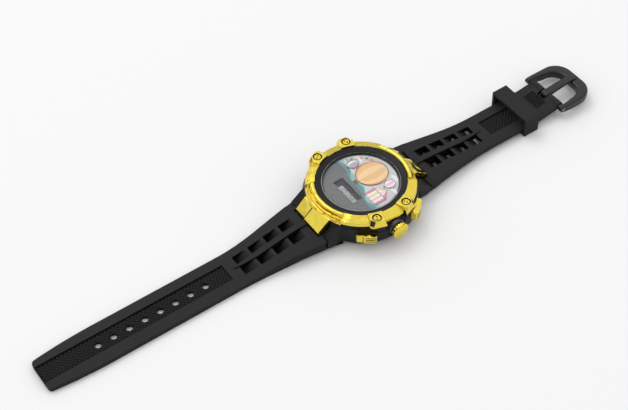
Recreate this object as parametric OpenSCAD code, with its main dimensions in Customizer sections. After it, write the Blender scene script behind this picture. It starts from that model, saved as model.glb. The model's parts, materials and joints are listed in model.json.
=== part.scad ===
// Toy digital watch on its strap, laid open on a table.
// Millimetres. The origin is the middle of the back cover's outer face, +Z points out of the dial,
// +Y to 12 o'clock (the buckle half of the strap) and +X to 3 o'clock (the crown).

/* [Movement stack] */
// Thickness of the back cover
back_t = 1; // [0.8:0.1:1.6]
// Height of the button cell
cell_h = 3.05; // [2.4:0.05:3.6]
// Radius of the button cell
cell_r = 5.8; // [4.5:0.1:6.5]
// Thickness of the circuit board
board_t = 0.7; // [0.5:0.1:1.2]
// Height of the movement frame
frame_h = 4.65; // [4.4:0.05:5.6]
// Thickness of the printed dial
dial_t = 0.6; // [0.3:0.1:0.8]
// Thickness of the lens
lens_t = 1.15; // [0.8:0.05:1.6]
// How far the lens lies below the top of the bezel
rim_drop = 1.1; // [0.6:0.1:1.6]

/* [Case] */
// Widest radius of the case barrel
barrel_r = 21.2; // [19.5:0.1:24]
// Wall of the barrel round the movement
case_wall = 6.2; // [5.8:0.1:6.6]
// Width of the ledge outside the printed dial
ledge_w = 1.4; // [1.2:0.1:2.4]
// How far the lens overlaps the ledge
lens_lap = 0.8; // [0.6:0.1:1]
// How far the back cover overlaps the barrel wall
back_lap = 3.2; // [3:0.1:3.6]
// How far the back cover stands below the case
back_proud = 0.3; // [0.1:0.1:0.5]

/* [Display] */
// Width of the window in the dial
window_w = 12; // [8:0.5:14]
// Height of the window in the dial
window_h = 4; // [3:0.5:6]
// Space between the window and the edge of the dial at 6 o'clock
window_edge = 5.6; // [5:0.1:7]

/* [Bezel] */
// Width of the bezel, from its bore to the edge of the barrel
bezel_w = 4.6; // [4.4:0.1:4.9]
// Width of the polished ring
ring_w = 1.9; // [1.5:0.1:2.1]
// How far the stepped flanges at 6 and 12 o'clock stay inside the edge of the barrel
flange_inset = 1; // [0.6:0.1:1.4]
// How far the bezel screws lie inside the edge of the barrel
screw_inset = 2.1; // [1.9:0.1:2.4]
// Angle of the bezel screws from the crown axis
screw_angle = 19.4; // [18:0.2:22]
// Width of a screw boss across its top
boss_w = 5.2; // [4.6:0.1:5.6]
// Corner cut off the top of a boss on its side towards 6 or 12 o'clock
boss_corner = 2; // [1.6:0.1:2.1]
// Radius of a bezel screw head
screw_head_r = 1.6; // [1.2:0.1:1.8]
// Radius of a bezel screw shank
screw_shank_r = 0.7; // [0.5:0.1:0.9]

/* [Buttons] */
// Travel of the crown and the pushers
travel = 0.8; // [0.4:0.1:1]
// Radius of the button stems
stem_r = 0.9; // [0.7:0.1:1]
// Radius of the crown cap
crown_r = 3.55; // [3:0.05:3.9]
// Length of the crown cap
crown_len = 2.3; // [2:0.1:3.2]
// Direction of a pusher away from the crown axis
pusher_angle = 38; // [34:1:42]
// Sideways place of a pusher, towards the crown
pusher_shift = 2.6; // [1.8:0.1:3]
// Length of a pusher cap
pusher_len = 7.4; // [5:0.1:7.6]
// Height of a pusher cap
pusher_h = 3.4; // [3:0.1:3.8]
// How far a pusher stands out of the case
pusher_out = 2.6; // [1.4:0.1:3]

/* [Lugs] */
// How far the spring bars lie inside the edge of the barrel
lug_inset = 0.4; // [0:0.1:0.6]
// Height of the spring bars above the back cover
lug_z = 3.4; // [3.2:0.1:3.8]
// Radius of the round lug ends
lug_r = 2.3; // [2.1:0.1:2.4]
// Space between the two lugs of a pair
lug_gap = 15.2; // [13:0.2:16]
// Width of one lug
lug_w = 4.2; // [3:0.1:4.6]
// Radius of a spring bar
bar_r = 0.75; // [0.6:0.05:0.9]

/* [Strap] */
// Half of the strap width at the case
root_half = 11.4; // [11:0.1:12.5]
// Half of the strap width past the windows
waist_half = 8.2; // [8:0.1:9]
// Thickness of the flat part of the strap
strap_t = 2.3; // [2:0.1:2.8]
// Height of the top of the strap beside the case
root_top = 5.6; // [5.4:0.1:5.8]
// Fall of the side bands towards the edges, in degrees
band_fall = 6; // [3:1:8]
// Height of the middle rib beside the case
rib_rise = 0.8; // [0.4:0.1:1]
// Half of the width of the middle rib
rib_half = 1.2; // [0.8:0.1:1.6]
// Distance from the dial centre to the end of the windowed part
field_end = 56; // [55:0.5:60]
// Depth of the sunken panels
panel_depth = 0.5; // [0.3:0.1:0.8]
// Half of the width of the sunken panels
panel_half = 3.75; // [3:0.05:4.2]
// Number of windows in a row
window_count = 4; // [2:1:4]
// Spacing of the windows
window_pitch = 6.6; // [6:0.1:6.8]

/* [Hole half of the strap] */
// Distance from the dial centre to the tip
tip_y = 130.8; // [124:0.2:138]
// Half of the width of the flat tip
tip_half = 5.2; // [4.6:0.1:6.2]
// Number of adjusting holes
hole_count = 8; // [5:1:9]
// Spacing of the adjusting holes
hole_pitch = 6.06; // [5:0.02:6.4]
// Distance from the dial centre to the first hole
first_hole_y = 66.6; // [64:0.2:70]
// Radius of an adjusting hole
hole_r = 1.15; // [0.8:0.05:1.4]

/* [Buckle half of the strap] */
// Distance from the dial centre to the buckle pin
buckle_y = 87.6; // [85:0.2:94]
// Radius of the strap end round the buckle pin
end_r = 1.6; // [1.5:0.05:1.8]
// Rise of the strap end between the keeper and the buckle
end_rise = 1.5; // [0.8:0.1:1.8]

/* [Keeper and buckle] */
// Length of the keeper along the strap
keeper_len = 6.7; // [5:0.1:7.2]
// Wall of the keeper
keeper_wall = 1.1; // [0.8:0.1:1.4]
// Height of the keeper
keeper_h = 8.2; // [7.6:0.1:9]
// Distance from the dial centre to the middle of the keeper
keeper_y = 72.4; // [71:0.2:74]
// Half of the outer width of the buckle frame
frame_half = 10.6; // [10:0.1:12]
// Width of an arm of the buckle frame
arm_w = 2.15; // [1.8:0.05:2.6]
// Radius of the outer corners of the buckle frame
bow_round = 7; // [5:0.1:8]
// Distance from the buckle pin to the far edge of the frame
frame_reach = 15.8; // [14:0.1:18]
// Depth of the far bar of the frame
far_bar = 3.6; // [3:0.1:4.6]
// Thickness of the buckle frame
frame_t = 2.8; // [2.4:0.1:3.4]
// Width of the tongue
tongue_w = 3; // [2.4:0.1:3.2]

/* [Hidden] */
$fn = 64;

// Overshoot of a cut past the face that it opens
cut = 1;
// Running clearance of a pin or stem in its bore
run_gap = 0.05;
// Clearance between seated pieces
seat_gap = 0.1;
// Clearance between pieces that move past each other
move_gap = 0.3;

// Heights of the movement stack, from the back cover upwards
clip_t = 0.2;
contact_t = 0.15;
clip_z = back_t + run_gap;
cell_z = clip_z + clip_t;
contact_z = cell_z + cell_h;
board_z = contact_z + contact_t;
board_top = board_z + board_t;
frame_top = board_top + frame_h;
dial_top = frame_top + dial_t;
lens_air = 0.35;
lens_z = dial_top + lens_air;
lens_top = lens_z + lens_t;
bezel_top = lens_top + rim_drop;
ledge_z = frame_top + seat_gap;
ledge_t = 0.9;
shoulder_z = ledge_z - ledge_t;

// Radii of the case, worked inwards from the edge of the barrel
cavity_r = barrel_r - case_wall;
dial_r = cavity_r - ledge_w;
lens_r = dial_r + lens_lap;
back_r = cavity_r + back_lap;
bezel_in_r = barrel_r - bezel_w;
flange_r = barrel_r - flange_inset;
screw_circle_r = barrel_r - screw_inset;
lug_y = barrel_r - lug_inset;
window_off = dial_r - window_edge - window_h / 2;
frame_r = cavity_r - 2 * seat_gap;
board_r = cavity_r - 6 * seat_gap;
ledge_r = dial_r + seat_gap;
collar_r = bezel_in_r - seat_gap;
gasket_in = cavity_r + 0.45;
gasket_w = 0.6;
gasket_h = 0.6;
back_screw_circle = (gasket_in + gasket_w + back_r) / 2;
back_head_r = 0.75;
back_head_h = 0.5;
back_shank_r = 0.4;
back_shank_len = 3.4;
back_screw_start = 45;

// Liquid crystal panel behind the dial window
panel_border = 1.5;
panel_w = window_w + 2 * panel_border;
panel_h = window_h + 2 * panel_border;
panel_t = 1.2;
zebra_w = 0.9;

// Buttons: the retaining ring sits against a flat inside the cavity wall
ring_r = 1.3;
ring_t = 0.4;
ring_room = 0.25;
button_z = board_top + ring_r + ring_room;
seat_d = cavity_r + 0.4;
ring_d = seat_d - 0.2 - ring_t;
stem_end_d = ring_d - 0.9;
groove_r = stem_r - 0.3;
leaf_t = 0.2;
leaf_air = 0.15;
leaf_w = 2.2;
leaf_d = stem_end_d - leaf_air - leaf_t;
crown_flat = barrel_r - 0.8;
collar_t = 0.6;
crown_x = crown_flat + collar_t + travel + 0.2;
facet_d = barrel_r - 1;
pusher_sunk = 0.1;
pusher_drop = 0.6;
pocket_d = facet_d - pusher_sunk - travel - move_gap;

// Bezel: a brushed band all round, under the bosses and the polished ring at 6 and 12 o'clock
raised_z = shoulder_z + 1.2;
ring_out = bezel_in_r + ring_w;
band_drop = 0.6;
band_fall_out = 1.7;
boss_out = screw_circle_r + screw_head_r + 0.4;
boss_draft = 0.55;
boss_proud = 0.1;
small_corner = 0.8;
corner_lean = 27;
pocket_w = 1.7;
pocket_h = 2;
pocket_depth = 0.5;
pocket_rim = 0.4;
flange_half_angle = 33;
band_half_angle = 90 - flange_half_angle + 0.5;
pad_inset = 0.2;
pad_inset_angle = 1.2;
head_h = 1.1;
head_sunk = 0.1;
shank_z = shoulder_z - 2.6;
link_half = lug_gap / 2 - move_gap;
link_split = -1.2;
link_low = root_top + 0.3;
link_reach = lug_y + lug_r + 0.35;
link_rise = 0.7;

// Strap: distances run along +Y from the dial centre
shoulder_r = lug_r + move_gap;
tab_r = lug_r - move_gap;
tab_half = lug_gap / 2 - move_gap;
body_y = link_reach + link_rise + move_gap;
root_low = lug_z - lug_r + 0.1;
lift = keeper_wall + 0.2;
field_start = body_y + 2;
crest_x = panel_half + 0.6;
window_bar = 1.4;
window_len = window_pitch - window_bar;
rib_end = field_end - 1;
rib_taper = 9;
rib_tip_half = 0.25;
rib_tip_rise = 0.15;
window_in = 0.5;
window_lip = 0.12;
window_ramp = 0.8;
window_out = panel_half + 0.7;
panel_start = field_end + 1.6;
tip_taper = 22;
tip_round = 1.6;
keeper_in_half = waist_half + 0.45;
rise_start = keeper_y + keeper_len / 2 + move_gap;
buckle_z = lift + end_rise + strap_t / 2;
slot_half = tongue_w / 2 + 0.4;
frame_in_half = frame_half - arm_w;
end_half = frame_in_half - 0.45;
slot_end = end_r + 1.2;
small_panel_end = slot_end + 0.5;
small_panel_len = 4.4;
end_taper = 2;
low_fall = 12;

// Smooth step from 0 to 1
function ease(t) = t <= 0 ? 0 : t >= 1 ? 1 : (1 - cos(180 * t)) / 2;
// Value that passes smoothly from a to b while s runs from s0 to s1
function pass(a, b, s, s0, s1) = a + (b - a) * ease((s - s0) / (s1 - s0));

// Half width of the strap outline at a distance s
function strap_half(s) = waist_half + (root_half - waist_half)
    * pow(1 - min(1, max(0, (s - body_y) / (field_end + 2 - body_y))), 2);
// Height of the strap's top and underside at a distance s, where its flat part lies low above the table
function strap_top(s, low) = pass(root_top, low + strap_t, s, body_y, field_end);
function strap_low(s, low) = pass(root_low, low, s, body_y, field_end - low_fall);
// Half width of the middle rib at a distance s, and its height over the strap: it runs out in a point
function rib_at(s) = rib_tip_half + (rib_half - rib_tip_half) * min(1, max(0, (rib_end - s) / rib_taper));
function rib_over(s) = rib_tip_rise + (rib_rise - rib_tip_rise) * (rib_end - s) / (rib_end - body_y);
// Outer side of the windows at a distance s
function window_side(s) = window_out + 0.35 * (strap_half(s) - waist_half);

// Rod along X between two places
module rod_x(r, x0, x1) {
    translate([x0, 0, 0]) rotate([0, 90, 0]) cylinder(r = r, h = x1 - x0);
}

// Outline drawn in Y and Z, drawn out along X to both sides of the middle
module along_x(width) {
    rotate([90, 0, 90]) linear_extrude(height = width, center = true) children();
}

// Puts a button's parts on its axis: local X points outwards
module on_button(angle, shift) {
    rotate([0, 0, angle]) translate([0, shift, button_z]) children();
}

// Both pushers: the lower one at 4 o'clock, the upper one its mirror image at 2 o'clock
module at_lower() {
    on_button(-pusher_angle, pusher_shift) children();
}
module at_upper() {
    mirror([0, 1, 0]) at_lower() children();
}
module at_crown() {
    on_button(0, 0) children();
}

// Four places that mirror each other about both axes
module at_corners() {
    for (side = [0, 1], end = [0, 1])
        mirror([side, 0, 0]) mirror([0, end, 0]) children();
}

module at_bezel_screws() {
    at_corners() rotate([0, 0, screw_angle]) translate([screw_circle_r, 0, 0]) children();
}

module at_back_screws() {
    for (i = [0:3])
        rotate([0, 0, back_screw_start + 90 * i]) translate([back_screw_circle, 0, 0]) children();
}

// Case body: a black barrel with a collar for the lens, four lugs and seats for the buttons
module lug_outline() {
    translate([lug_y, lug_z]) circle(r = lug_r);
    polygon([
        [cavity_r + 1, lug_z - lug_r], [lug_y, lug_z - lug_r],
        [lug_y + lug_r * cos(52), lug_z + lug_r * sin(52)],
        [cavity_r + 2.4, shoulder_z - 0.3], [cavity_r + 1, shoulder_z - 0.3]
    ]);
}

module barrel() {
    rotate_extrude() polygon([
        [0, back_proud], [barrel_r - 1.8, back_proud], [barrel_r - 0.3, back_proud + 2.2],
        [barrel_r, back_proud + 3.2], [barrel_r, shoulder_z - 2.2],
        [barrel_r - 0.9, shoulder_z], [0, shoulder_z]
    ]);
    rotate_extrude() polygon([
        [0, shoulder_z - cut], [collar_r, shoulder_z - cut], [collar_r, bezel_top - band_drop],
        [lens_r + seat_gap, lens_top], [0, lens_top]
    ]);
    pad_h = raised_z - run_gap - shoulder_z + cut;
    for (side = [0, 180]) sector(side, band_half_angle - pad_inset_angle)
        translate([collar_r - cut, shoulder_z - cut]) square([flange_r - pad_inset - collar_r + cut, pad_h]);
    at_corners() {
        translate([(lug_gap + lug_w) / 2, 0, 0]) along_x(lug_w) lug_outline();
        rotate([0, 0, screw_angle]) difference() {
            translate([ring_out, -boss_w / 2, shoulder_z - cut])
                cube([boss_out - ring_out, boss_w, pad_h - seat_gap]);
            corner_cut(1, boss_corner);
            corner_cut(-1, small_corner);
        }
    }
}

module case_cavity() {
    translate([0, 0, -cut]) cylinder(r = cavity_r, h = ledge_z + cut);
    translate([0, 0, -cut]) cylinder(r = ledge_r, h = lens_top + 2 * cut);
    translate([0, 0, lens_z]) cylinder(r = lens_r + run_gap, h = lens_t + cut);
    translate([0, 0, -cut]) cylinder(r = back_r + seat_gap, h = back_t + cut);
    translate([0, 0, back_t - cut]) difference() {
        cylinder(r = gasket_in + gasket_w + run_gap, h = gasket_h + cut);
        translate([0, 0, -cut]) cylinder(r = gasket_in - run_gap, h = gasket_h + 3 * cut);
    }
}

module ring_seat() {
    translate([cavity_r / 2, -ring_r - 0.4, -ring_r - ring_room])
        cube([seat_d - cavity_r / 2, 2 * ring_r + 0.8, 2 * ring_r + 2 * ring_room]);
}

module pusher_pocket() {
    ring_seat();
    rod_x(stem_r + run_gap, cavity_r / 2, barrel_r + cut);
    room_w = pusher_len + move_gap;
    translate([pocket_d, -room_w / 2, -pusher_drop - (pusher_h + move_gap) / 2])
        cube([barrel_r, room_w, pusher_h + move_gap]);
    translate([facet_d, -room_w, -shoulder_z]) cube([barrel_r, 2 * room_w, 2 * shoulder_z]);
}

module case_body() color("#17181a") difference() {
    barrel();
    case_cavity();
    at_crown() {
        ring_seat();
        rod_x(stem_r + run_gap, cavity_r / 2, barrel_r + cut);
        rod_x(crown_r + 0.35, crown_flat, barrel_r + cut);
    }
    at_lower() pusher_pocket();
    at_upper() pusher_pocket();
    at_bezel_screws() translate([0, 0, shank_z]) cylinder(r = screw_shank_r + run_gap, h = shoulder_z);
    at_back_screws() cylinder(r = back_shank_r + run_gap, h = back_shank_len + seat_gap);
    for (end = [0, 1]) mirror([0, end, 0]) {
        translate([-lug_gap / 2, lug_y - lug_r - 0.3, -cut])
            cube([lug_gap, 2 * lug_r + cut, shoulder_z + 2 * cut]);
        translate([0, lug_y, lug_z])
            rod_x(bar_r + run_gap, -lug_gap / 2 - lug_w + 0.6, lug_gap / 2 + lug_w - 0.6);
    }
}

// Bezel: one gold moulding with a brushed band, four screw bosses and, at 6 and 12 o'clock, a polished
// ring with a stepped flange that runs down into a link over the strap
module ring_profile() {
    crown_of_ring = ring_w / 2;
    translate([bezel_in_r, shoulder_z])
        square([ring_w, bezel_top - shoulder_z - crown_of_ring]);
    translate([bezel_in_r + crown_of_ring, bezel_top - crown_of_ring]) circle(r = crown_of_ring);
}

module flange_profile() {
    step_1 = ring_out + 0.35;
    step_2 = step_1 + 0.55;
    groove_z = bezel_top - 2.3;
    polygon([
        [ring_out - 0.3, shoulder_z], [ring_out - 0.3, groove_z], [step_1, groove_z],
        [step_1, bezel_top - 1.3], [step_2, bezel_top - 1.7], [step_2, groove_z - 0.3],
        [step_2 + 0.25, groove_z - 0.3], [step_2 + 0.25, bezel_top - 2.2],
        [flange_r, shoulder_z + 0.8], [flange_r, shoulder_z]
    ]);
}

module band_profile() {
    polygon([
        [bezel_in_r, raised_z], [bezel_in_r, bezel_top - band_drop],
        [flange_r - pad_inset, bezel_top - band_fall_out], [flange_r, raised_z]
    ]);
}

module sector(middle, half) {
    rotate([0, 0, middle - half]) rotate_extrude(angle = 2 * half) children();
}

// Boss: drafted on its sides and its outer face, with leaning cuts at its two outer corners and a pocket
// in the cut that lies towards 6 or 12 o'clock
module at_boss_corner(side, size) {
    translate([boss_out, side * (boss_w / 2 - size), bezel_top + boss_proud])
        rotate([0, 0, side * 45]) rotate([0, -corner_lean, 0]) children();
}

module corner_cut(side, size) {
    at_boss_corner(side, size) translate([0, -2 * boss_w, -2 * boss_w]) cube(4 * boss_w);
}

module boss() {
    rise = bezel_top - raised_z + boss_proud;
    near = bezel_in_r - seat_gap;
    difference() {
        translate([0, 0, raised_z]) intersection() {
            rotate([90, 0, 90]) linear_extrude(height = boss_out + cut) polygon([
                [-boss_w / 2 - boss_draft, 0], [boss_w / 2 + boss_draft, 0],
                [boss_w / 2, rise], [-boss_w / 2, rise]
            ]);
            rotate([90, 0, 0]) linear_extrude(height = 2 * boss_w, center = true) polygon([
                [near, 0], [boss_out + boss_draft, 0], [boss_out, rise], [near, rise]
            ]);
        }
        corner_cut(1, boss_corner);
        corner_cut(-1, small_corner);
        at_boss_corner(1, boss_corner)
            translate([-pocket_depth, (boss_corner * sqrt(2) - pocket_w) / 2, -pocket_rim - pocket_h])
                cube([boss_w, pocket_w, pocket_h]);
    }
}

module link_outline(rise, reach) {
    polygon([
        [bezel_in_r + 1.2, shoulder_z + 0.3], [bezel_in_r + 1.2, shoulder_z + 0.6 + rise],
        [flange_r - 0.6, shoulder_z + 0.6 + rise], [reach - 0.4, link_low + 0.4 + rise],
        [reach, link_low + rise], [reach, link_low - 0.6], [reach - 1, link_low - 0.6],
        [flange_r - 0.4, shoulder_z - 1.2], [flange_r - 1.2, shoulder_z + 0.3]
    ]);
}

module link() {
    wing_w = link_split + link_half;
    block_w = link_half - link_split;
    translate([link_split - wing_w / 2, 0, 0]) along_x(wing_w) link_outline(0, link_reach);
    translate([link_split + block_w / 2, 0, 0])
        along_x(block_w) link_outline(link_rise, link_reach + link_rise);
}

module bezel() color("#e0b821") difference() {
    union() {
        for (side = [0, 180]) sector(side, band_half_angle) band_profile();
        for (end = [0, 1]) mirror([0, end, 0]) {
            sector(90, flange_half_angle) {
                ring_profile();
                flange_profile();
            }
            link();
        }
        at_corners() rotate([0, 0, screw_angle]) boss();
    }
    at_bezel_screws() {
        translate([0, 0, bezel_top - head_h]) cylinder(r = screw_head_r + seat_gap, h = 2 * head_h);
        translate([0, 0, shoulder_z - cut]) cylinder(r = screw_shank_r + run_gap, h = bezel_top);
    }
    translate([0, 0, shoulder_z - cut]) cylinder(r = bezel_in_r, h = bezel_top);
}

// Bezel screws: round heads with two spanner holes
module bezel_screws() color("#d8ae1c") at_bezel_screws() difference() {
    union() {
        translate([0, 0, bezel_top - head_h + run_gap]) cylinder(r = screw_head_r, h = head_h - head_sunk);
        translate([0, 0, shank_z + run_gap])
            cylinder(r = screw_shank_r, h = bezel_top - head_h - shank_z);
    }
    for (side = [-1, 1]) translate([side * screw_head_r * 0.5, 0, bezel_top - head_sunk - 0.4])
        cylinder(r = screw_head_r * 0.2, h = head_h);
}

// Lens: clear disc with a chamfered upper edge
module lens() color("#dfe8ee", 0.35) rotate_extrude() polygon([
    [0, lens_z], [lens_r, lens_z], [lens_r, lens_top - 0.35], [lens_r - 0.35, lens_top], [0, lens_top]
]);

// Dial: printed disc with a window for the display
module dial_card() color("#f0a868") difference() {
    translate([0, 0, frame_top]) cylinder(r = dial_r, h = dial_t);
    translate([-window_w / 2, -window_off - window_h / 2, frame_top - cut])
        cube([window_w, window_h, dial_t + 2 * cut]);
}

// Liquid crystal panel: two sheets of glass, the lower one longer to take its contacts
module lcd_panel() color("#8d9588") translate([0, -window_off, frame_top - panel_t]) {
    translate([-panel_w / 2, -panel_h / 2, 0]) cube([panel_w, panel_h, panel_t / 2]);
    translate([-panel_w / 2, -panel_h / 2 + zebra_w, panel_t / 2])
        cube([panel_w, panel_h - 2 * zebra_w, panel_t / 2 - run_gap]);
}

// Conductive rubber strips between the board and the panel
module at_zebras() {
    for (side = [-1, 1]) translate([0, -window_off + side * (panel_h - zebra_w) / 2, board_top]) children();
}
module zebra_strips() color("#c9787c") at_zebras()
    translate([-window_w / 2, -zebra_w / 2, 0]) cube([window_w, zebra_w, frame_h - panel_t]);

// Movement frame: carries the dial and holds the panel over the board
module movement_frame() color("#e8e6df") difference() {
    translate([0, 0, board_top]) cylinder(r = frame_r, h = frame_h);
    translate([-panel_w / 2 - seat_gap, -window_off - panel_h / 2 - seat_gap, frame_top - panel_t])
        cube([panel_w + 2 * seat_gap, panel_h + 2 * seat_gap, panel_t + cut]);
    at_zebras() translate([-window_w / 2 - seat_gap, -zebra_w / 2 - seat_gap, -cut])
        cube([window_w + 2 * seat_gap, zebra_w + 2 * seat_gap, frame_h + cut]);
    translate([0, 5, board_top - cut]) cylinder(r = 6.6, h = cut + 2.6);
    for (turn = [-1, 0, 1]) on_button(turn * pusher_angle, -turn * pusher_shift)
        translate([leaf_d - 1, -ring_r - 0.6, board_top - button_z - cut])
            cube([cavity_r, 2 * ring_r + 1.2, button_z - board_top + cut + ring_r + 0.4]);
}

// Circuit board: round, with a flat under each button
module circuit_board() color("#2e6b3c") difference() {
    translate([0, 0, board_z]) cylinder(r = board_r, h = board_t);
    for (turn = [0:3]) rotate([0, 0, 90 * turn + 45]) translate([board_r - 0.9, -2.5, board_z - cut])
        cube([cut + 0.9, 5, board_t + 2 * cut]);
}

// Chip under its drop of black resin
module chip_blob() color("#111111") translate([-2.2, 6.6, board_top]) intersection() {
    translate([0, 0, -2.2]) sphere(r = 3.6);
    cylinder(r = 3.6, h = 2);
}

// Quartz crystal in its can, lying on the board
module quartz_can() color("#c9ccd0") translate([3.4, 3.2, board_top + 1]) rotate([-90, 0, 0]) {
    cylinder(r = 1, h = 5.2);
    translate([0, 0, -0.6]) cylinder(r = 0.8, h = 0.6);
}

// Button cell with its stepped cap
module button_cell() color("#b9bcc0") rotate_extrude() polygon([
    [0, cell_z], [cell_r - 0.2, cell_z], [cell_r, cell_z + 0.2], [cell_r, contact_z - 0.7],
    [cell_r - 0.7, contact_z - 0.35], [cell_r - 0.9, contact_z], [0, contact_z]
]);

// Sprung clip that holds the cell up against the board
module cell_clip() color("#c4b27a") {
    clip_w = 5;
    leg_y = cell_r + move_gap;
    foot = 1.6;
    translate([-clip_w / 2, -leg_y - clip_t, clip_z]) cube([clip_w, 2 * (leg_y + clip_t), clip_t]);
    for (end = [0, 1]) mirror([0, end, 0]) {
        translate([-clip_w / 2, leg_y, clip_z]) cube([clip_w, clip_t, board_z - clip_z]);
        translate([-clip_w / 2, leg_y, board_z - clip_t]) cube([clip_w, foot, clip_t]);
    }
}

// Flat contact between the cell's cap and the board
module cell_contact() color("#c4b27a") translate([0, 0, contact_z]) difference() {
    cylinder(r = cell_r - 1.4, h = contact_t);
    translate([0, 0, -cut]) cylinder(r = cell_r / 2, h = contact_t + 2 * cut);
}

// Three contact leaves on the board, one behind each stem: they bend when a button is pressed
module contact_leaves() color("#c4b27a")
    for (turn = [-1, 0, 1]) on_button(turn * pusher_angle, -turn * pusher_shift) {
        drop = button_z - board_top;
        translate([leaf_d, -leaf_w / 2, -drop]) cube([leaf_t, leaf_w, drop + stem_r]);
        translate([leaf_d - 0.8, -leaf_w / 2, -drop]) cube([0.8, leaf_w, leaf_t]);
    }

// Back cover: flat plate with sunken screw heads
module back_cover() color("#b4b6b8") difference() {
    rotate_extrude() polygon([
        [0, 0], [back_r - 0.3, 0], [back_r, 0.3], [back_r, back_t], [0, back_t]
    ]);
    at_back_screws() {
        translate([0, 0, -cut]) cylinder(r = back_head_r + seat_gap, h = back_head_h + run_gap + cut);
        translate([0, 0, -cut]) cylinder(r = back_shank_r + run_gap, h = back_t + 2 * cut);
    }
}

module back_screws() color("#8f9296") at_back_screws() difference() {
    union() {
        translate([0, 0, run_gap]) cylinder(r = back_head_r, h = back_head_h);
        translate([0, 0, run_gap]) cylinder(r = back_shank_r, h = back_shank_len);
    }
    for (turn = [0, 90]) rotate([0, 0, turn])
        translate([-back_head_r * 0.65, -0.11, -cut]) cube([back_head_r * 1.3, 0.22, cut + 0.3]);
}

// Sealing ring between the back cover and the case
module back_gasket() color("#3a3a3c") translate([0, 0, back_t]) difference() {
    cylinder(r = gasket_in + gasket_w, h = gasket_h - run_gap);
    translate([0, 0, -cut]) cylinder(r = gasket_in, h = gasket_h + 2 * cut);
}

// Stem with the groove for its retaining ring
module stem(start) {
    difference() {
        rod_x(stem_r, stem_end_d, start);
        difference() {
            rod_x(stem_r + cut, ring_d - run_gap, ring_d + ring_t + run_gap);
            rod_x(groove_r, ring_d - cut, ring_d + ring_t + cut);
        }
    }
}

// Retaining ring, open on one side
module stem_ring() color("#9a9da1") difference() {
    rod_x(ring_r, ring_d, ring_d + ring_t);
    rod_x(groove_r + 0.02, ring_d - cut, ring_d + ring_t + cut);
    translate([ring_d - cut, -groove_r * 0.8, 0]) cube([ring_t + 2 * cut, groove_r * 1.6, 2 * ring_r]);
}

// Crown: domed cap with a fluted edge, pressed in like a button
module crown_cap() color("#e0b821") at_crown() {
    stem(crown_x + crown_len / 2);
    difference() {
        rotate([0, 90, 0]) rotate_extrude() polygon(concat(
            [[0, crown_x], [crown_r - 0.4, crown_x], [crown_r, crown_x + 0.4],
             [crown_r, crown_x + crown_len - 0.9]],
            [for (a = [0:15:90]) [(crown_r - 0.45) * cos(a), crown_x + crown_len - 0.8 + 0.8 * sin(a)]]
        ));
        flutes = 20;
        for (i = [0:flutes - 1]) rotate([360 / flutes * i, 0, 0]) translate([0, 0, crown_r + 0.12])
            rod_x(0.32, crown_x - cut, crown_x + crown_len);
    }
}

// Dark collar behind the crown, pressed into the case
module crown_collar() color("#3b3d40") at_crown() difference() {
    rod_x(crown_r - 0.7, crown_flat, crown_flat + collar_t);
    rod_x(stem_r + run_gap, crown_flat - cut, crown_flat + collar_t + cut);
}

module crown_clip() at_crown() stem_ring();

// Pusher: a block with a plain end, a step and a grooved end
module pusher() color("#e0b821") {
    inner = facet_d - pusher_sunk;
    outer = facet_d + pusher_out;
    stem(inner + 0.5);
    translate([0, 0, -pusher_drop]) difference() {
        linear_extrude(height = pusher_h, center = true) polygon([
            [inner, -pusher_len / 2], [outer - 0.9, -pusher_len / 2], [outer - 0.5, -pusher_len / 2 + 0.5],
            [outer - 0.4, -pusher_len / 6], [outer, -pusher_len / 6 + 0.6], [outer, pusher_len / 2 - 0.8],
            [outer - 0.8, pusher_len / 2], [inner, pusher_len / 2]
        ]);
        groove_w = pusher_h / 9;
        for (row = [-1, 0, 1])
            translate([outer - 0.35, -pusher_len / 6 + 1, row * pusher_h / 4 - groove_w / 2])
                cube([cut, pusher_len, groove_w]);
    }
}

module upper_pusher() at_upper() pusher();
module upper_clip() at_upper() stem_ring();
module lower_pusher() at_lower() pusher();
module lower_clip() at_lower() stem_ring();

// Spring bar: a thicker sleeve with a thin tip at each end
module spring_bar() color("#a5a8ac") translate([0, lug_y, lug_z]) {
    rod_x(bar_r, -lug_gap / 2 - lug_w + 0.8, lug_gap / 2 + lug_w - 0.8);
}
module spring_bar_12() spring_bar();
module spring_bar_6() mirror([0, 1, 0]) spring_bar();

// Both strap halves are drawn from their side view, which falls from the case to the table, and cut to
// their plan outline. The flat part lies low above the table and its end rises by a given amount
strap_steps = 14;
function strap_places(y0, y1) = [for (i = [0:strap_steps]) y0 + (y1 - y0) / strap_steps * i];
function flat_line(z, end, rise) = [[rise_start, z], [end, z + rise]];

// Space above the strap's top, tilted about a line along the strap at x
module above_strap(low, end, rise, x, tilt) {
    high = 4 * root_top;
    translate([x, 0, low + strap_t]) rotate([0, tilt, 0]) translate([-x, 0, -low - strap_t])
        along_x(6 * root_half) polygon(concat(
            [for (s = strap_places(body_y, field_end)) [s, strap_top(s, low)]],
            flat_line(low + strap_t, end + cut, rise),
            [[end + cut, high], [lug_y, high], [lug_y, root_top]]
        ));
}

module strap_side_view(low, end, rise) {
    top = flat_line(low + strap_t, end, rise);
    polygon(concat(
        [[lug_y, root_low]],
        [for (s = strap_places(body_y, field_end - low_fall)) [s, strap_low(s, low)]],
        flat_line(low, end, rise), [top[1], top[0]],
        [for (i = [strap_steps:-1:0]) let (s = strap_places(body_y, field_end)[i]) [s, strap_top(s, low)]],
        [[lug_y, root_top]]
    ));
}

// Plan outline from the case to the narrow part
module root_plan() {
    places = strap_places(lug_y, field_end + 2);
    polygon(concat(
        [for (s = places) [strap_half(s), s]],
        [for (i = [strap_steps:-1:0]) [-strap_half(places[i]), places[i]]]
    ));
}

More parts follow.
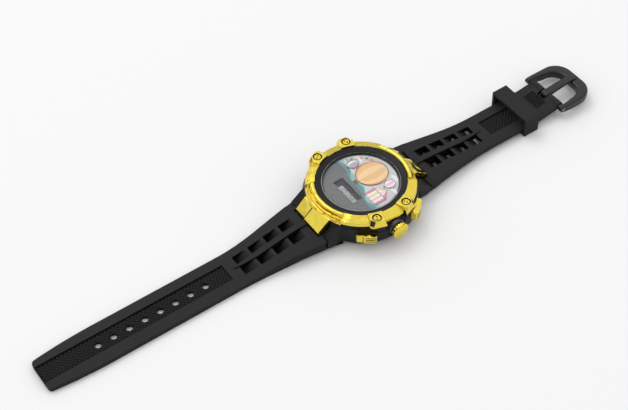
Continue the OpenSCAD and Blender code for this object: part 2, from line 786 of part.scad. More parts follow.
// Raised rib between the two rows of windows
module rib(low) {
    places = strap_places(body_y, rib_end);
    intersection() {
        along_x(3 * rib_half) polygon(concat(
            [[body_y, root_top - strap_t / 2], [rib_end, low + strap_t / 2]],
            [for (i = [strap_steps:-1:0]) [places[i], strap_top(places[i], low) + rib_over(places[i])]]
        ));
        linear_extrude(height = 4 * root_top) polygon([
            [-rib_half, body_y], [rib_half, body_y], [rib_half, rib_end - rib_taper],
            [rib_tip_half, rib_end], [-rib_tip_half, rib_end], [-rib_half, rib_end - rib_taper]
        ]);
    }
}

// One scooped window: a ramp that falls away from the case to an opening in the underside
module strap_window(i, low) {
    y0 = field_start + window_bar + i * window_pitch;
    y1 = y0 + window_len;
    foot = y0 + window_len * window_ramp;
    x0 = rib_at(y1) + window_in;
    x1 = window_side(y1);
    translate([(x0 + x1) / 2, 0, 0]) along_x(x1 - x0) polygon([
        [y0, root_top + cut], [y0, strap_top(y0, low) - window_lip], [foot, strap_low(foot, low)],
        [foot, -cut], [y1, -cut], [y1, root_top + cut]
    ]);
}

// Tab between the lugs, round the spring bar
module strap_tab() {
    along_x(2 * tab_half) {
        translate([lug_y, lug_z]) circle(r = tab_r);
        polygon([
            [lug_y, lug_z - tab_r], [body_y + 0.6, root_low + 0.05], [body_y + 0.6, lug_z + 0.9],
            [lug_y + 1.2, lug_z + 0.9], [lug_y, lug_z + tab_r]
        ]);
    }
}

// Either half: its plan outline past the windows is the child
module strap_half_body(low, end, rise) {
    difference() {
        intersection() {
            along_x(4 * root_half) strap_side_view(low, end, rise);
            translate([0, 0, -cut]) linear_extrude(height = 4 * root_top) {
                root_plan();
                children();
            }
        }
        translate([0, lug_y, lug_z]) rod_x(shoulder_r, -2 * root_half, 2 * root_half);
        translate([-lug_gap / 2, 0, lug_z + 0.9]) cube([lug_gap, body_y, root_top]);
        translate([-2 * root_half, 0, -cut])
            cube([4 * root_half, lug_y + lug_r * 0.72, root_top + 2 * cut]);
        for (side = [0, 1]) mirror([side, 0, 0]) {
            above_strap(low, end, rise, crest_x, band_fall);
            for (i = [0:window_count - 1]) strap_window(i, low);
        }
    }
    rib(low);
    strap_tab();
}

module spring_bar_bore() {
    translate([0, lug_y, lug_z]) rod_x(bar_r + run_gap, -root_half, root_half);
}

// Hole half: lies flat on the table, with a sunken panel, adjusting holes and a flat tip
module tip_plan() {
    steps = 8;
    bend = [for (i = [0:steps]) let (t = i / steps)
        [waist_half - (waist_half - tip_half - tip_round) * t * t, tip_y - tip_round - tip_taper * (1 - t)]];
    polygon(concat(
        [[-waist_half, field_end + 1], [waist_half, field_end + 1]], bend,
        [for (a = [15:15:90]) [tip_half + tip_round * cos(a), tip_y - tip_round + tip_round * sin(a)]],
        [for (a = [90:-15:15]) [-tip_half - tip_round * cos(a), tip_y - tip_round + tip_round * sin(a)]],
        [for (i = [steps:-1:0]) [-bend[i][0], bend[i][1]]]
    ));
}

module strap_hole_half() color("#1b1c1e") mirror([0, 1, 0]) difference() {
    strap_half_body(0, tip_y, 0) tip_plan();
    spring_bar_bore();
    translate([-panel_half, panel_start, strap_t - panel_depth])
        cube([2 * panel_half, tip_y - panel_start + cut, strap_t]);
    for (i = [0:hole_count - 1]) translate([0, first_hole_y + i * hole_pitch, -cut])
        cylinder(r = hole_r, h = strap_t + 2 * cut);
}

// Buckle half: level from the case to the keeper, rounded at the end round the buckle pin
module end_plan() {
    polygon([
        [-waist_half, field_end + 1], [waist_half, field_end + 1],
        [waist_half, rise_start + end_taper], [end_half, rise_start + 2 * end_taper], [end_half, buckle_y],
        [-end_half, buckle_y], [-end_half, rise_start + 2 * end_taper], [-waist_half, rise_start + end_taper]
    ]);
}

module strap_buckle_half() color("#1b1c1e") difference() {
    union() {
        strap_half_body(lift, buckle_y, end_rise) end_plan();
        translate([0, buckle_y, buckle_z]) rod_x(end_r, -end_half, end_half);
    }
    spring_bar_bore();
    translate([0, buckle_y, buckle_z]) rod_x(bar_r + run_gap, -root_half, root_half);
    translate([-slot_half, buckle_y - slot_end, -cut])
        cube([2 * slot_half, slot_end + end_r + cut, root_top + 3 * cut]);
    panel_z = lift + strap_t - panel_depth;
    slope = end_rise / (buckle_y - rise_start);
    far = buckle_y - small_panel_end;
    near = far - small_panel_len;
    near_z = panel_z + (near - rise_start) * slope;
    far_z = panel_z + (far - rise_start) * slope;
    translate([-panel_half, panel_start, panel_z]) cube([2 * panel_half, rise_start - panel_start, strap_t]);
    along_x(2 * panel_half)
        polygon([[near, near_z], [far, far_z], [far, far_z + strap_t], [near, near_z + strap_t]]);
}

// Keeper: loop for the loose end of the strap, open above the half that carries it
module keeper_loop() color("#1b1c1e") translate([0, keeper_y, 0]) rotate([90, 0, 0])
    linear_extrude(height = keeper_len, center = true) difference() {
        translate([-keeper_in_half - keeper_wall, 0])
            square([2 * (keeper_in_half + keeper_wall), keeper_h]);
        translate([-keeper_in_half, keeper_wall])
            square([2 * keeper_in_half, keeper_h - 2 * keeper_wall]);
    }

// Buckle frame: a rounded bow on two arms, with a notch for the tongue
module bow_plan(half, near, far, round) {
    translate([-half, near]) square([2 * half, far - round - near]);
    translate([round - half, near]) square([2 * (half - round), far - near]);
    for (side = [-1, 1]) translate([side * (half - round), far - round]) circle(r = round);
}

module buckle_frame() color("#1b1c1e") {
    arm_mid = (frame_half + frame_in_half) / 2;
    inner_far = buckle_y + frame_reach - far_bar;
    difference() {
        union() {
            translate([0, 0, buckle_z - frame_t / 2]) linear_extrude(height = frame_t) difference() {
                bow_plan(frame_half, buckle_y, buckle_y + frame_reach, bow_round);
                bow_plan(frame_in_half, buckle_y - cut, inner_far, bow_round - arm_w);
            }
            for (side = [-1, 1]) translate([side * arm_mid, buckle_y, buckle_z])
                rod_x(frame_t / 2, -arm_w / 2, arm_w / 2);
        }
        translate([0, buckle_y, buckle_z]) rod_x(bar_r, -2 * frame_half, 2 * frame_half);
        translate([-tongue_w / 2 - move_gap, inner_far - cut, buckle_z + frame_t / 2 - 0.8])
            cube([tongue_w + 2 * move_gap, far_bar - 0.6 + cut, 2]);
    }
}

// Tongue: a round eye on the pin and a bar that drops into the notch
module buckle_tongue() color("#1b1c1e") difference() {
    rest_z = buckle_z + frame_t / 2 - 0.8 + move_gap;
    inner_far = buckle_y + frame_reach - far_bar;
    along_x(tongue_w) {
        translate([buckle_y, buckle_z]) circle(r = end_r - 0.1);
        polygon([
            [buckle_y, buckle_z - 0.7], [inner_far - 2.4, rest_z - 0.3], [inner_far, rest_z],
            [inner_far + far_bar - 1, rest_z], [inner_far + far_bar - 1, rest_z + 0.7],
            [inner_far, rest_z + 1.2], [buckle_y + 1, buckle_z + 1.5], [buckle_y, buckle_z + 1.5]
        ]);
    }
    translate([0, buckle_y, buckle_z]) rod_x(bar_r + run_gap, -frame_half, frame_half);
}

// Buckle pin: a steel pin whose ends show at the sides of the frame
module buckle_pin() color("#b9bcc0") translate([0, buckle_y, buckle_z])
    rod_x(bar_r, -frame_half + 0.2, frame_half - 0.2);

case_body();
bezel();
bezel_screws();
lens();
dial_card();
lcd_panel();
zebra_strips();
movement_frame();
circuit_board();
chip_blob();
quartz_can();
button_cell();
cell_clip();
cell_contact();
contact_leaves();
back_cover();
back_screws();
back_gasket();
crown_cap();
crown_collar();
crown_clip();
upper_pusher();
upper_clip();
lower_pusher();
lower_clip();
spring_bar_12();
spring_bar_6();
strap_hole_half();
strap_buckle_half();
keeper_loop();
buckle_frame();
buckle_tongue();
buckle_pin();
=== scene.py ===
# Toy digital watch laid open on its back: the looks of every piece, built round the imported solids.
# Metres, in the frame of the solids: +Z out of the dial, +Y to 12 o'clock, +X to 3 o'clock.
import json
import math

import bmesh
import bpy
from mathutils import Matrix, Vector

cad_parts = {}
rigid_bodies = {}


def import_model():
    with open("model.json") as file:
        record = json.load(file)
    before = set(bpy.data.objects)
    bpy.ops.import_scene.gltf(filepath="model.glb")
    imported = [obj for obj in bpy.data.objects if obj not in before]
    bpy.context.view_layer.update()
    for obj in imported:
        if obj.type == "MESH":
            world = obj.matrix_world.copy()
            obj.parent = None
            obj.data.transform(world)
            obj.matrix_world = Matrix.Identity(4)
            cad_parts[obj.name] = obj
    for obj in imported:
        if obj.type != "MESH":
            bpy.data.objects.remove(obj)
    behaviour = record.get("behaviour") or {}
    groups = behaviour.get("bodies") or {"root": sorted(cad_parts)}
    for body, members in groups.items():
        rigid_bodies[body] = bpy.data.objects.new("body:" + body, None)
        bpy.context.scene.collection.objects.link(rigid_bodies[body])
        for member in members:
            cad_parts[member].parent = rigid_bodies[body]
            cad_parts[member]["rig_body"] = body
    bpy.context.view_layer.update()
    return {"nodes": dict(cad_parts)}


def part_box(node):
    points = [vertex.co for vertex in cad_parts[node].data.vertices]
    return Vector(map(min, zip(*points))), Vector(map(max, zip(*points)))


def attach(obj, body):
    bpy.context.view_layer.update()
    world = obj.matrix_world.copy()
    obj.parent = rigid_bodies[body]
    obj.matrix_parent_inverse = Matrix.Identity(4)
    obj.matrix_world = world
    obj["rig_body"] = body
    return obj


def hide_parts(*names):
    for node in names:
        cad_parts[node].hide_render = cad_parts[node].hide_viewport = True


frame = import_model()

# Camera
# A long lens looks down at the watch from the crown's side of 6 o'clock. Its angles, distance and
# focal length were fitted to the bezel, its screws and the adjusting holes of the strap.
MM = 0.001
photo_width_px = 628
focal_px = 1412.6
sensor_mm = 36.0
camera_turn = math.radians(56.63)
camera_height = math.radians(48.82)
camera_roll = math.radians(-2.15)
camera_distance = 512.5 * MM
camera_target = Vector((-9.21, -14.43, 0.0)) * MM

backwards = Vector((
    math.sin(camera_turn) * math.cos(camera_height),
    -math.cos(camera_turn) * math.cos(camera_height),
    math.sin(camera_height),
))
level = Vector((math.cos(camera_turn), math.sin(camera_turn), 0.0))
upright = backwards.cross(level)
camera_x = math.cos(camera_roll) * level + math.sin(camera_roll) * upright
camera_y = math.cos(camera_roll) * upright - math.sin(camera_roll) * level

camera_data = bpy.data.cameras.new("photo_camera")
camera_data.sensor_width = sensor_mm
camera_data.lens = focal_px / photo_width_px * sensor_mm
camera_data.clip_start = 10 * MM
camera = bpy.data.objects.new("photo_camera", camera_data)
camera_axes = Matrix((camera_x, camera_y, backwards)).transposed().to_4x4()
camera.matrix_world = Matrix.Translation(camera_target + camera_distance * backwards) @ camera_axes
bpy.context.scene.collection.objects.link(camera)
bpy.context.scene.camera = camera

# Table and studio light
# A sheet of pale matt paper under an even white room, with one large soft box high on the left,
# so that shadows are short, pale and soft as in the photograph.
paper_half = 20.0
paper_drop = 0.15 * MM
paper_colour = (0.95, 0.95, 0.95, 1.0)
paper_bounce = (0.35, 0.35, 0.35, 1.0)
fibre_scale = 0.8
fibre_height = 0.05 * MM
fibre_strength = 0.05
room_low = 0.40
room_middle = 0.98
room_high = 1.06
camera_side_dark = 0.30
dark_from = 0.55
dark_to = 0.95
soft_box_side = 0.8
soft_box_distance = 1.6
soft_box_watts = 4.0
soft_box_from = Vector((-0.80, -0.10, 1.30)).normalized()


def linked(name, mesh):
    """A new object for a mesh, at the origin."""
    piece = bpy.data.objects.new(name, mesh)
    bpy.context.scene.collection.objects.link(piece)
    return piece


def fill(tree, node, inputs):
    """Gives the inputs of a node their values, or links from the outputs of other nodes."""
    for name, value in inputs.items():
        if isinstance(value, bpy.types.NodeSocket):
            tree.links.new(value, node.inputs[name])
        else:
            node.inputs[name].default_value = value


def add_node(tree, kind, inputs, **settings):
    """Adds a node to a tree, with its settings and the values or links of its inputs."""
    node = tree.nodes.new(kind)
    for name, value in settings.items():
        setattr(node, name, value)
    fill(tree, node, inputs)
    return node


def reckon(tree, kind, *values, clamp=False):
    """The result of a sum with numbers or outputs of other nodes."""
    step = add_node(tree, "ShaderNodeMath", dict(enumerate(values)), operation=kind, use_clamp=clamp)
    return step.outputs["Value"]


def mixed(tree, share, first, second):
    """The first colour, or with a growing share the second."""
    mix = add_node(tree, "ShaderNodeMix", {"Factor": share, 6: first, 7: second}, data_type="RGBA")
    return mix.outputs[2]


def new_finish(name):
    """A new material: itself, its tree, its shader, and Object coordinates in millimetres."""
    finish = bpy.data.materials.new(name)
    finish.use_nodes = True
    tree = finish.node_tree
    place = add_node(tree, "ShaderNodeTexCoord", {}).outputs["Object"]
    in_mm = add_node(tree, "ShaderNodeMapping", {"Vector": place, "Scale": (1 / MM, 1 / MM, 1 / MM)})
    return finish, tree, tree.nodes["Principled BSDF"], in_mm.outputs["Vector"]


paper_corners = ((-1, -1), (1, -1), (1, 1), (-1, 1))
paper_mesh = bpy.data.meshes.new("paper_sheet")
paper_mesh.from_pydata(
    [(x * paper_half, y * paper_half, -paper_drop) for x, y in paper_corners], [], [(0, 1, 2, 3)])
paper = linked("paper_sheet", paper_mesh)
paper_finish, tree, shader, place = new_finish("matt_paper")
fibres = add_node(tree, "ShaderNodeTexNoise", {"Vector": place, "Scale": fibre_scale})
fibre_relief = add_node(tree, "ShaderNodeBump", {
    "Height": fibres.outputs["Fac"], "Strength": fibre_strength, "Distance": fibre_height})
rays = add_node(tree, "ShaderNodeLightPath", {}).outputs
seen = reckon(tree, "MAXIMUM", rays["Is Camera Ray"], rays["Is Glossy Ray"])
seen_or_through = reckon(tree, "MAXIMUM", seen, rays["Is Transmission Ray"])
fill(tree, shader, {
    "Base Color": mixed(tree, seen_or_through, paper_bounce, paper_colour),
    "Roughness": 0.9,
    "Specular IOR Level": 0.1,
    "Normal": fibre_relief.outputs["Normal"],
})
paper_mesh.materials.append(paper_finish)

room = bpy.data.worlds.new("white_room")
room.use_nodes = True
bpy.context.scene.world = room
tree = room.node_tree
direction = add_node(tree, "ShaderNodeTexCoord", {}).outputs["Generated"]
height = add_node(tree, "ShaderNodeSeparateXYZ", {"Vector": direction}).outputs["Z"]
walls = add_node(tree, "ShaderNodeValToRGB", {"Fac": height})
walls.color_ramp.elements.new(0.5)
for stop, bright in zip(walls.color_ramp.elements, (room_low, room_middle, room_high)):
    stop.color = (bright, bright, bright, 1.0)
facing = add_node(tree, "ShaderNodeVectorMath", {0: direction, 1: backwards}, operation="DOT_PRODUCT")
camera_side = add_node(tree, "ShaderNodeMapRange", {
    "Value": facing.outputs["Value"], "From Min": dark_from, "From Max": dark_to,
    "To Min": 1.0, "To Max": 1.0 - camera_side_dark,
}, interpolation_type="SMOOTHSTEP")
fill(tree, tree.nodes["Background"], {
    "Color": walls.outputs["Color"], "Strength": camera_side.outputs["Result"]})

soft_box_data = bpy.data.lights.new("soft_box", "AREA")
soft_box_data.size = soft_box_side
soft_box_data.energy = soft_box_watts
soft_box = bpy.data.objects.new("soft_box", soft_box_data)
soft_box.location = soft_box_from * soft_box_distance
soft_box.rotation_euler = soft_box_from.to_track_quat("Z", "Y").to_euler()
bpy.context.scene.collection.objects.link(soft_box)
bpy.context.scene.view_settings.view_transform = "Standard"

# Back cover, its screws and its seal
# A plate stamped from thin steel with a satin finish, screwed into the barrel on a rubber ring by
# four small cross-headed screws that lie sunk in it.
plate_colour = (0.46, 0.46, 0.47, 1.0)
screw_colour = (0.40, 0.40, 0.41, 1.0)
seal_colour = (0.018, 0.018, 0.019, 1.0)
plate_round = 0.03
back_screw_round = 0.05
grain_height = 0.1 * MM
grain_rough = 0.2
mottle_scale = 0.16
mottle_rough = 0.25
scuff_scale = 0.9
scuff_level = 0.38
scuff_contrast = 4.0
merge_distance = 0.0005 * MM
curve_angle = math.radians(20)
flat_angle = math.radians(0.4)
sharp_angle = math.radians(24)
smooth_angle = math.radians(40)
crossing_share = 0.3
room_share = 0.38


def new_tree(name, kind, inputs, outputs):
    """A new node group, what is given to it, and the node that takes its results."""
    tree = bpy.data.node_groups.new(name, kind)
    for way, sockets in (("INPUT", inputs), ("OUTPUT", outputs)):
        for socket, content in sockets.items():
            tree.interface.new_socket(socket, in_out=way, socket_type="NodeSocket" + content)
    return tree, tree.nodes.new("NodeGroupInput").outputs, tree.nodes.new("NodeGroupOutput")


def marked(tree, name):
    """How far a face or corner is marked in an attribute of the mesh."""
    return add_node(tree, "ShaderNodeAttribute", {}, attribute_name=name).outputs["Fac"]


def moulded_surface_group():
    """Finish of a moulded piece: fine grain, slow changes of tone, and paler edges that stand for rubbing
    and a painted highlight.
    """
    tree, given, result = new_tree("moulded_surface", "ShaderNodeTree", {
        "Vector": "Vector", "Colour": "Color", "Wear And Highlight Colour": "Color",
        "Grain Size": "Float", "Mottle": "Float", "Wear And Highlight Share": "Float", "Roughness": "Float",
    }, {"Colour": "Color", "Roughness": "Float", "Height": "Float"})

    def noise(scale, detail):
        """A noise about the place on the piece."""
        texture = add_node(tree, "ShaderNodeTexNoise", {
            "Vector": given["Vector"], "Scale": scale, "Detail": detail})
        return texture.outputs["Fac"]

    grain = noise(reckon(tree, "DIVIDE", 1.0, given["Grain Size"]), detail=3.0)
    slow = reckon(tree, "SUBTRACT", noise(mottle_scale, detail=4.0), 0.5)
    tone = reckon(tree, "MULTIPLY_ADD", slow, given["Mottle"], 1.0)
    toned = add_node(tree, "ShaderNodeVectorMath", {0: given["Colour"], "Scale": tone}, operation="SCALE")
    # Rounded edges turn paler where the scuffs fall: partly real rubbing, partly a painted highlight along
    # the edges.
    above_level = reckon(tree, "SUBTRACT", noise(scuff_scale, detail=6.0), scuff_level)
    scuffed = reckon(tree, "MULTIPLY", above_level, scuff_contrast, clamp=True)
    edge_wear_and_highlight = reckon(tree, "MULTIPLY", marked(tree, "edge"), scuffed)
    wear_and_highlight = reckon(tree, "MULTIPLY", edge_wear_and_highlight, given["Wear And Highlight Share"])
    slow_rough = reckon(tree, "MULTIPLY_ADD", slow, mottle_rough, given["Roughness"])
    fine = reckon(tree, "SUBTRACT", grain, 0.5)
    fill(tree, result, {
        "Colour": mixed(tree, wear_and_highlight, toned.outputs["Vector"], given["Wear And Highlight Colour"]),
        "Roughness": reckon(tree, "MULTIPLY_ADD", fine, grain_rough, slow_rough, clamp=True),
        "Height": grain,
    })
    return tree


moulded_surface = moulded_surface_group()


def moulded_finish(
        name, colour, wear_and_highlight, rough, grain=0.3, mottle=0.25, wear_and_highlight_share=0.5, bump=0.15, metal=0.0, gloss=0.5):
    """A material of the moulded kind, whose surface and relief stay open for changes."""
    finish, tree, shader, place = new_finish(name)
    surface = add_node(tree, "ShaderNodeGroup", {
        "Vector": place, "Colour": colour, "Wear And Highlight Colour": wear_and_highlight,
        "Grain Size": grain, "Mottle": mottle, "Wear And Highlight Share": wear_and_highlight_share, "Roughness": rough,
    }, name="surface", node_tree=moulded_surface)
    relief = add_node(tree, "ShaderNodeBump", {
        "Height": surface.outputs["Height"], "Strength": bump, "Distance": grain_height}, name="relief")
    fill(tree, shader, {
        "Base Color": surface.outputs["Colour"],
        "Roughness": surface.outputs["Roughness"],
        "Normal": relief.outputs["Normal"],
        "Metallic": metal,
        "Specular IOR Level": gloss,
    })
    return finish


def paler(colour, times):
    """The same colour, brighter."""
    return (*(min(1.0, part * times) for part in colour[:3]), 1.0)


def edge_rounding(work, radius):
    """Share of the radius that each sharp edge has room for beside its neighbours."""
    share = {}
    for edge in work.edges:
        if len(edge.link_faces) != 2 or edge.calc_face_angle(0.0) < sharp_angle:
            continue
        along = (edge.verts[1].co - edge.verts[0].co).normalized()
        room = radius
        for corner in edge.verts:
            for other in corner.link_edges:
                if other == edge or not set(other.link_faces) & set(edge.link_faces):
                    continue
                aside = (other.verts[1].co - other.verts[0].co).cross(along).length
                if aside > crossing_share * other.calc_length():
                    room = min(room, room_share * aside)
        share[edge] = room / radius
    return share


def flat_patches(work):
    """Groups of joined facets that lie in one plane."""
    seen = set()
    groups = []
    for start in work.faces:
        if start in seen:
            continue
        seen.add(start)
        patch = [start]
        for face in patch:
            for edge in face.edges:
                for other in edge.link_faces:
                    if other not in seen and other.normal.angle(start.normal, 0.0) < flat_angle:
                        seen.add(other)
                        patch.append(other)
        groups.append(patch)
    return groups


def join_flat_facets(work):
    """Joins the facets of each flat patch into a single face, where the patch has no hole."""
    inner_edges = []
    for patch in flat_patches(work):
        corners = {corner for face in patch for corner in face.verts}
        edges = dict.fromkeys(edge for face in patch for edge in face.edges)
        if len(patch) > 1 and len(corners) - len(edges) + len(patch) == 1:
            own = set(patch)
            inner_edges += [edge for edge in edges if all(face in own for face in edge.link_faces)]
    bmesh.ops.dissolve_edges(work, edges=inner_edges, use_verts=False, use_face_split=False)


def settle(piece):
    """Turns what a piece's modifiers make into its plain mesh."""
    graph = bpy.context.evaluated_depsgraph_get()
    made = bpy.data.meshes.new_from_object(piece.evaluated_get(graph))
    piece.modifiers.clear()
    piece.data = made


def cut_away(piece, cutter_mesh):
    """Cuts a mesh out of a piece."""
    cutter = linked("cutter", cutter_mesh)
    cut = piece.modifiers.new("cut", "BOOLEAN")
    cut.object = cutter
    cut.solver = "EXACT"
    settle(piece)
    bpy.data.objects.remove(cutter)


def mesh_of(name, work):
    """A new mesh of the form that was under work."""
    mesh = bpy.data.meshes.new(name)
    work.to_mesh(mesh)
    work.free()
    return mesh


def merged_form(mesh):
    """A mesh taken under work, its facets merged along their edges."""
    work = bmesh.new()
    work.from_mesh(mesh)
    bmesh.ops.remove_doubles(work, verts=work.verts, dist=merge_distance)
    return work


def moulded_copy(name, node, finish, round_mm, steps=2, cutters=()):
    """A copy of a solid, cut further if need be, with its sharp edges rounded, that replaces it."""
    piece = linked(name, mesh_of(name, merged_form(frame["nodes"][node].data)))
    for cutter in cutters:
        cut_away(piece, cutter)
    mesh = piece.data
    work = merged_form(mesh)
    join_flat_facets(work)
    weight = work.edges.layers.float.new("bevel_weight_edge")
    for edge, share in edge_rounding(work, round_mm * MM).items():
        edge[weight] = share
    for face in work.faces:
        face.material_index = 0
        face.smooth = True
    work.to_mesh(mesh)
    work.free()
    mesh.materials.clear()
    mesh.materials.append(finish)
    mesh.materials.append(finish)
    rounding = piece.modifiers.new("rounding", "BEVEL")
    rounding.limit_method = "WEIGHT"
    rounding.width = round_mm * MM
    rounding.segments = steps
    rounding.use_clamp_overlap = False
    rounding.material = 1
    settle(piece)
    mark_edges(piece.data)
    piece.data.set_sharp_from_angle(angle=smooth_angle)
    even_normals(piece.data)
    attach(piece, frame["nodes"][node]["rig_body"])
    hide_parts(node)
    return piece


def mark_edges(mesh):
    """Notes the rounded faces in an attribute and leaves the mesh one material."""
    rounded = [float(face.material_index == 1) for face in mesh.polygons]
    mesh.attributes.new("edge", "FLOAT", "FACE").data.foreach_set("value", rounded)
    for face in mesh.polygons:
        face.material_index = 0
    mesh.materials.pop(index=1)


def even_normals(mesh):
    """Corner normals that follow whole flat patches, so that thin facets cast no false shades."""
    rounded = mesh.attributes["edge"].data
    work = bmesh.new()
    work.from_mesh(mesh)
    patch_of = {}
    patches = []
    for patch in flat_patches(work):
        patch_of.update((face, len(patches)) for face in patch)
        weighted = sum((face.normal * face.calc_area() for face in patch), Vector())
        patches.append((weighted, weighted.normalized()))
    normals = []
    for face in work.faces:
        own = patches[patch_of[face]][1]
        reach = math.cos(smooth_angle if rounded[face.index].value else curve_angle)
        for corner in face.verts:
            near = Vector()
            for patch in sorted({patch_of[other] for other in corner.link_faces}):
                weighted, normal = patches[patch]
                if normal.dot(own) > reach:
                    near += weighted
            normals.append(near.normalized() if near.length else own)
    work.free()
    mesh.normals_split_custom_set(normals)


def dress_node(node, finish):
    """Gives a solid that shows as it is its material."""
    solid = frame["nodes"][node]
    if not solid.material_slots:
        solid.data.materials.append(finish)
    for holder in solid.material_slots:
        holder.material = finish


plate_finish = moulded_finish("brushed_back_plate", plate_colour, paler(plate_colour, 1.5), 0.34, metal=1.0)
moulded_copy("back_cover_plate", "back_cover", plate_finish, plate_round)
screw_finish = moulded_finish("bare_steel", screw_colour, paler(screw_colour, 1.5), 0.3, metal=1.0)
moulded_copy("back_cover_screws", "back_screws", screw_finish, back_screw_round)
seal_finish = moulded_finish("seal_rubber", seal_colour, paler(seal_colour, 2), 0.7)
dress_node("back_gasket", seal_finish)

# Cell, clip and contacts
# A steel button cell held by a sprung brass clip; a brass washer and three bent leaves carry the
# current and take the push of the buttons.
brass_colour = (0.60, 0.46, 0.20, 1.0)
brass_finish = moulded_finish("spring_brass", brass_colour, paler(brass_colour, 1.3), 0.3, metal=1.0)
for node in ("cell_clip", "cell_contact", "contact_leaves"):
    dress_node(node, brass_finish)
dress_node("button_cell", screw_finish)

# Clock circuit
# A green glass-fibre board with its chip under a drop of black resin, the quartz in a steel can,
# two strips of conductive rubber and a white plastic frame that carries the display and the dial.
board_colour = (0.035, 0.16, 0.06, 1.0)
resin_colour = (0.012, 0.012, 0.013, 1.0)
strip_colour = (0.42, 0.16, 0.17, 1.0)
carrier_colour = (0.72, 0.71, 0.67, 1.0)
board_finish = moulded_finish("board_laminate", board_colour, paler(board_colour, 1.6), 0.42, mottle=0.6)
resin_finish = moulded_finish("chip_resin", resin_colour, paler(resin_colour, 2), 0.3)
strip_finish = moulded_finish("contact_rubber", strip_colour, paler(strip_colour, 1.3), 0.7)
carrier_finish = moulded_finish("carrier_plastic", carrier_colour, paler(carrier_colour, 1.1), 0.5)
dress_node("circuit_board", board_finish)
dress_node("chip_blob", resin_finish)
dress_node("quartz_can", screw_finish)
dress_node("zebra_strips", strip_finish)
dress_node("movement_frame", carrier_finish)

# Display
# A liquid crystal glass behind the window of the dial, silver grey with a dark border, and on it the
# bars of a four-figure clock time. The dark border is partly the glass's own mask and partly painted
# shadow of the window's walls.
glass_colour = (0.42, 0.43, 0.41, 1.0)
figure_colour = (0.115, 0.12, 0.12, 1.0)
border_and_shadow_colour = (0.016, 0.017, 0.019, 1.0)
glass_round = 0.08
window_half = 6.0
window_low = -8.0
window_high = -4.0
# The border is widest along the top and at the left end: partly the glass's mask, partly painted shadow of
# the window's walls.
border_and_shadow_top = 1.85
border_and_shadow_end = 2.5
border_over = 0.4
figure_height = 1.45
figure_width = 1.1
figure_bar = 0.25
figure_gap = 0.06
figure_slant = 0.12
figure_places = (-2.55, -0.75, 2.1, 3.9)
figure_bars = ("bc", "abcdef", "abcdef", "abcdefg")
colon_place = 0.68
colon_half = 0.45
glass_lift = 0.02 * MM


def flat_mesh(name, shapes):
    """A mesh of flat shapes that face upwards, each an outline in millimetres and its height."""
    work = bmesh.new()
    for outline, height in shapes:
        face = work.faces.new([work.verts.new((x * MM, y * MM, height)) for x, y in outline])
        face.normal_update()
        if face.normal.z < 0:
            face.normal_flip()
    return mesh_of(name, work)


def add_piece(name, mesh, finish, body, node=None):
    """Adds a piece to a body: trim or print of its own, or a closer form in place of a solid."""
    mesh.materials.append(finish)
    piece = linked(name, mesh)
    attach(piece, body)
    if node:
        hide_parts(node)
    return piece


def clock_figure(centre, middle, bars):
    """Outlines of the lit bars of one figure."""
    half_w = figure_width / 2
    half_h = figure_height / 2
    thin = figure_bar / 2
    upright_bars = {"b": (half_w, 1), "c": (half_w, -1), "e": (-half_w, -1), "f": (-half_w, 1)}
    level_bars = {"a": half_h, "g": 0.0, "d": -half_h}
    outlines = []
    for bar in bars:
        if bar in upright_bars:
            x, up = upright_bars[bar]
            low, high = sorted((up * figure_gap, up * (half_h - figure_gap)))
            box = [(x - thin, low + thin), (x, low), (x + thin, low + thin),
                   (x + thin, high - thin), (x, high), (x - thin, high - thin)]
        else:
            y = level_bars[bar]
            end = half_w - figure_gap
            box = [(-end, y), (thin - end, y - thin), (end - thin, y - thin),
                   (end, y), (end - thin, y + thin), (thin - end, y + thin)]
        outlines.append([(centre + x + figure_slant * y, middle + y) for x, y in box])
    return outlines


def rectangle(left, right, low, high):
    """Outline of a rectangle."""
    return [(left, low), (right, low), (right, high), (left, high)]


glass_finish = moulded_finish(
    "display_glass", glass_colour, paler(glass_colour, 1.2), 0.22, mottle=0.3, bump=0.02)
moulded_copy("display_panel", "lcd_panel", glass_finish, glass_round)
glass_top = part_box("lcd_panel")[1].z + glass_lift
window_middle = (window_low + window_high - border_and_shadow_top) / 2
time_outlines = []
for centre, bars in zip(figure_places, figure_bars):
    time_outlines += clock_figure(centre, window_middle, bars)
dot = figure_bar / 2
for middle in (window_middle - colon_half, window_middle + colon_half):
    time_outlines.append(rectangle(colon_place - dot, colon_place + dot, middle - dot, middle + dot))
figure_finish = moulded_finish("display_ink", figure_colour, figure_colour, 0.4)
figure_mesh = flat_mesh("display_figures", [(outline, glass_top) for outline in time_outlines])
add_piece("display_figures", figure_mesh, figure_finish, "case")
# Painted shadow of the window's walls, laid with the glass's own dark mask.
border_low = window_high - border_and_shadow_top
border_shadow_finish = moulded_finish("display_mask_and_shadow", border_and_shadow_colour, border_and_shadow_colour, 0.35)
border_shadow_mesh = flat_mesh("display_border", [
    (rectangle(-window_half, window_half, border_low, window_high + border_over), glass_top),
    (rectangle(-window_half - border_over, border_and_shadow_end - window_half, window_low, border_low), glass_top),
])
add_piece("display_border", border_shadow_mesh, border_shadow_finish, "case")

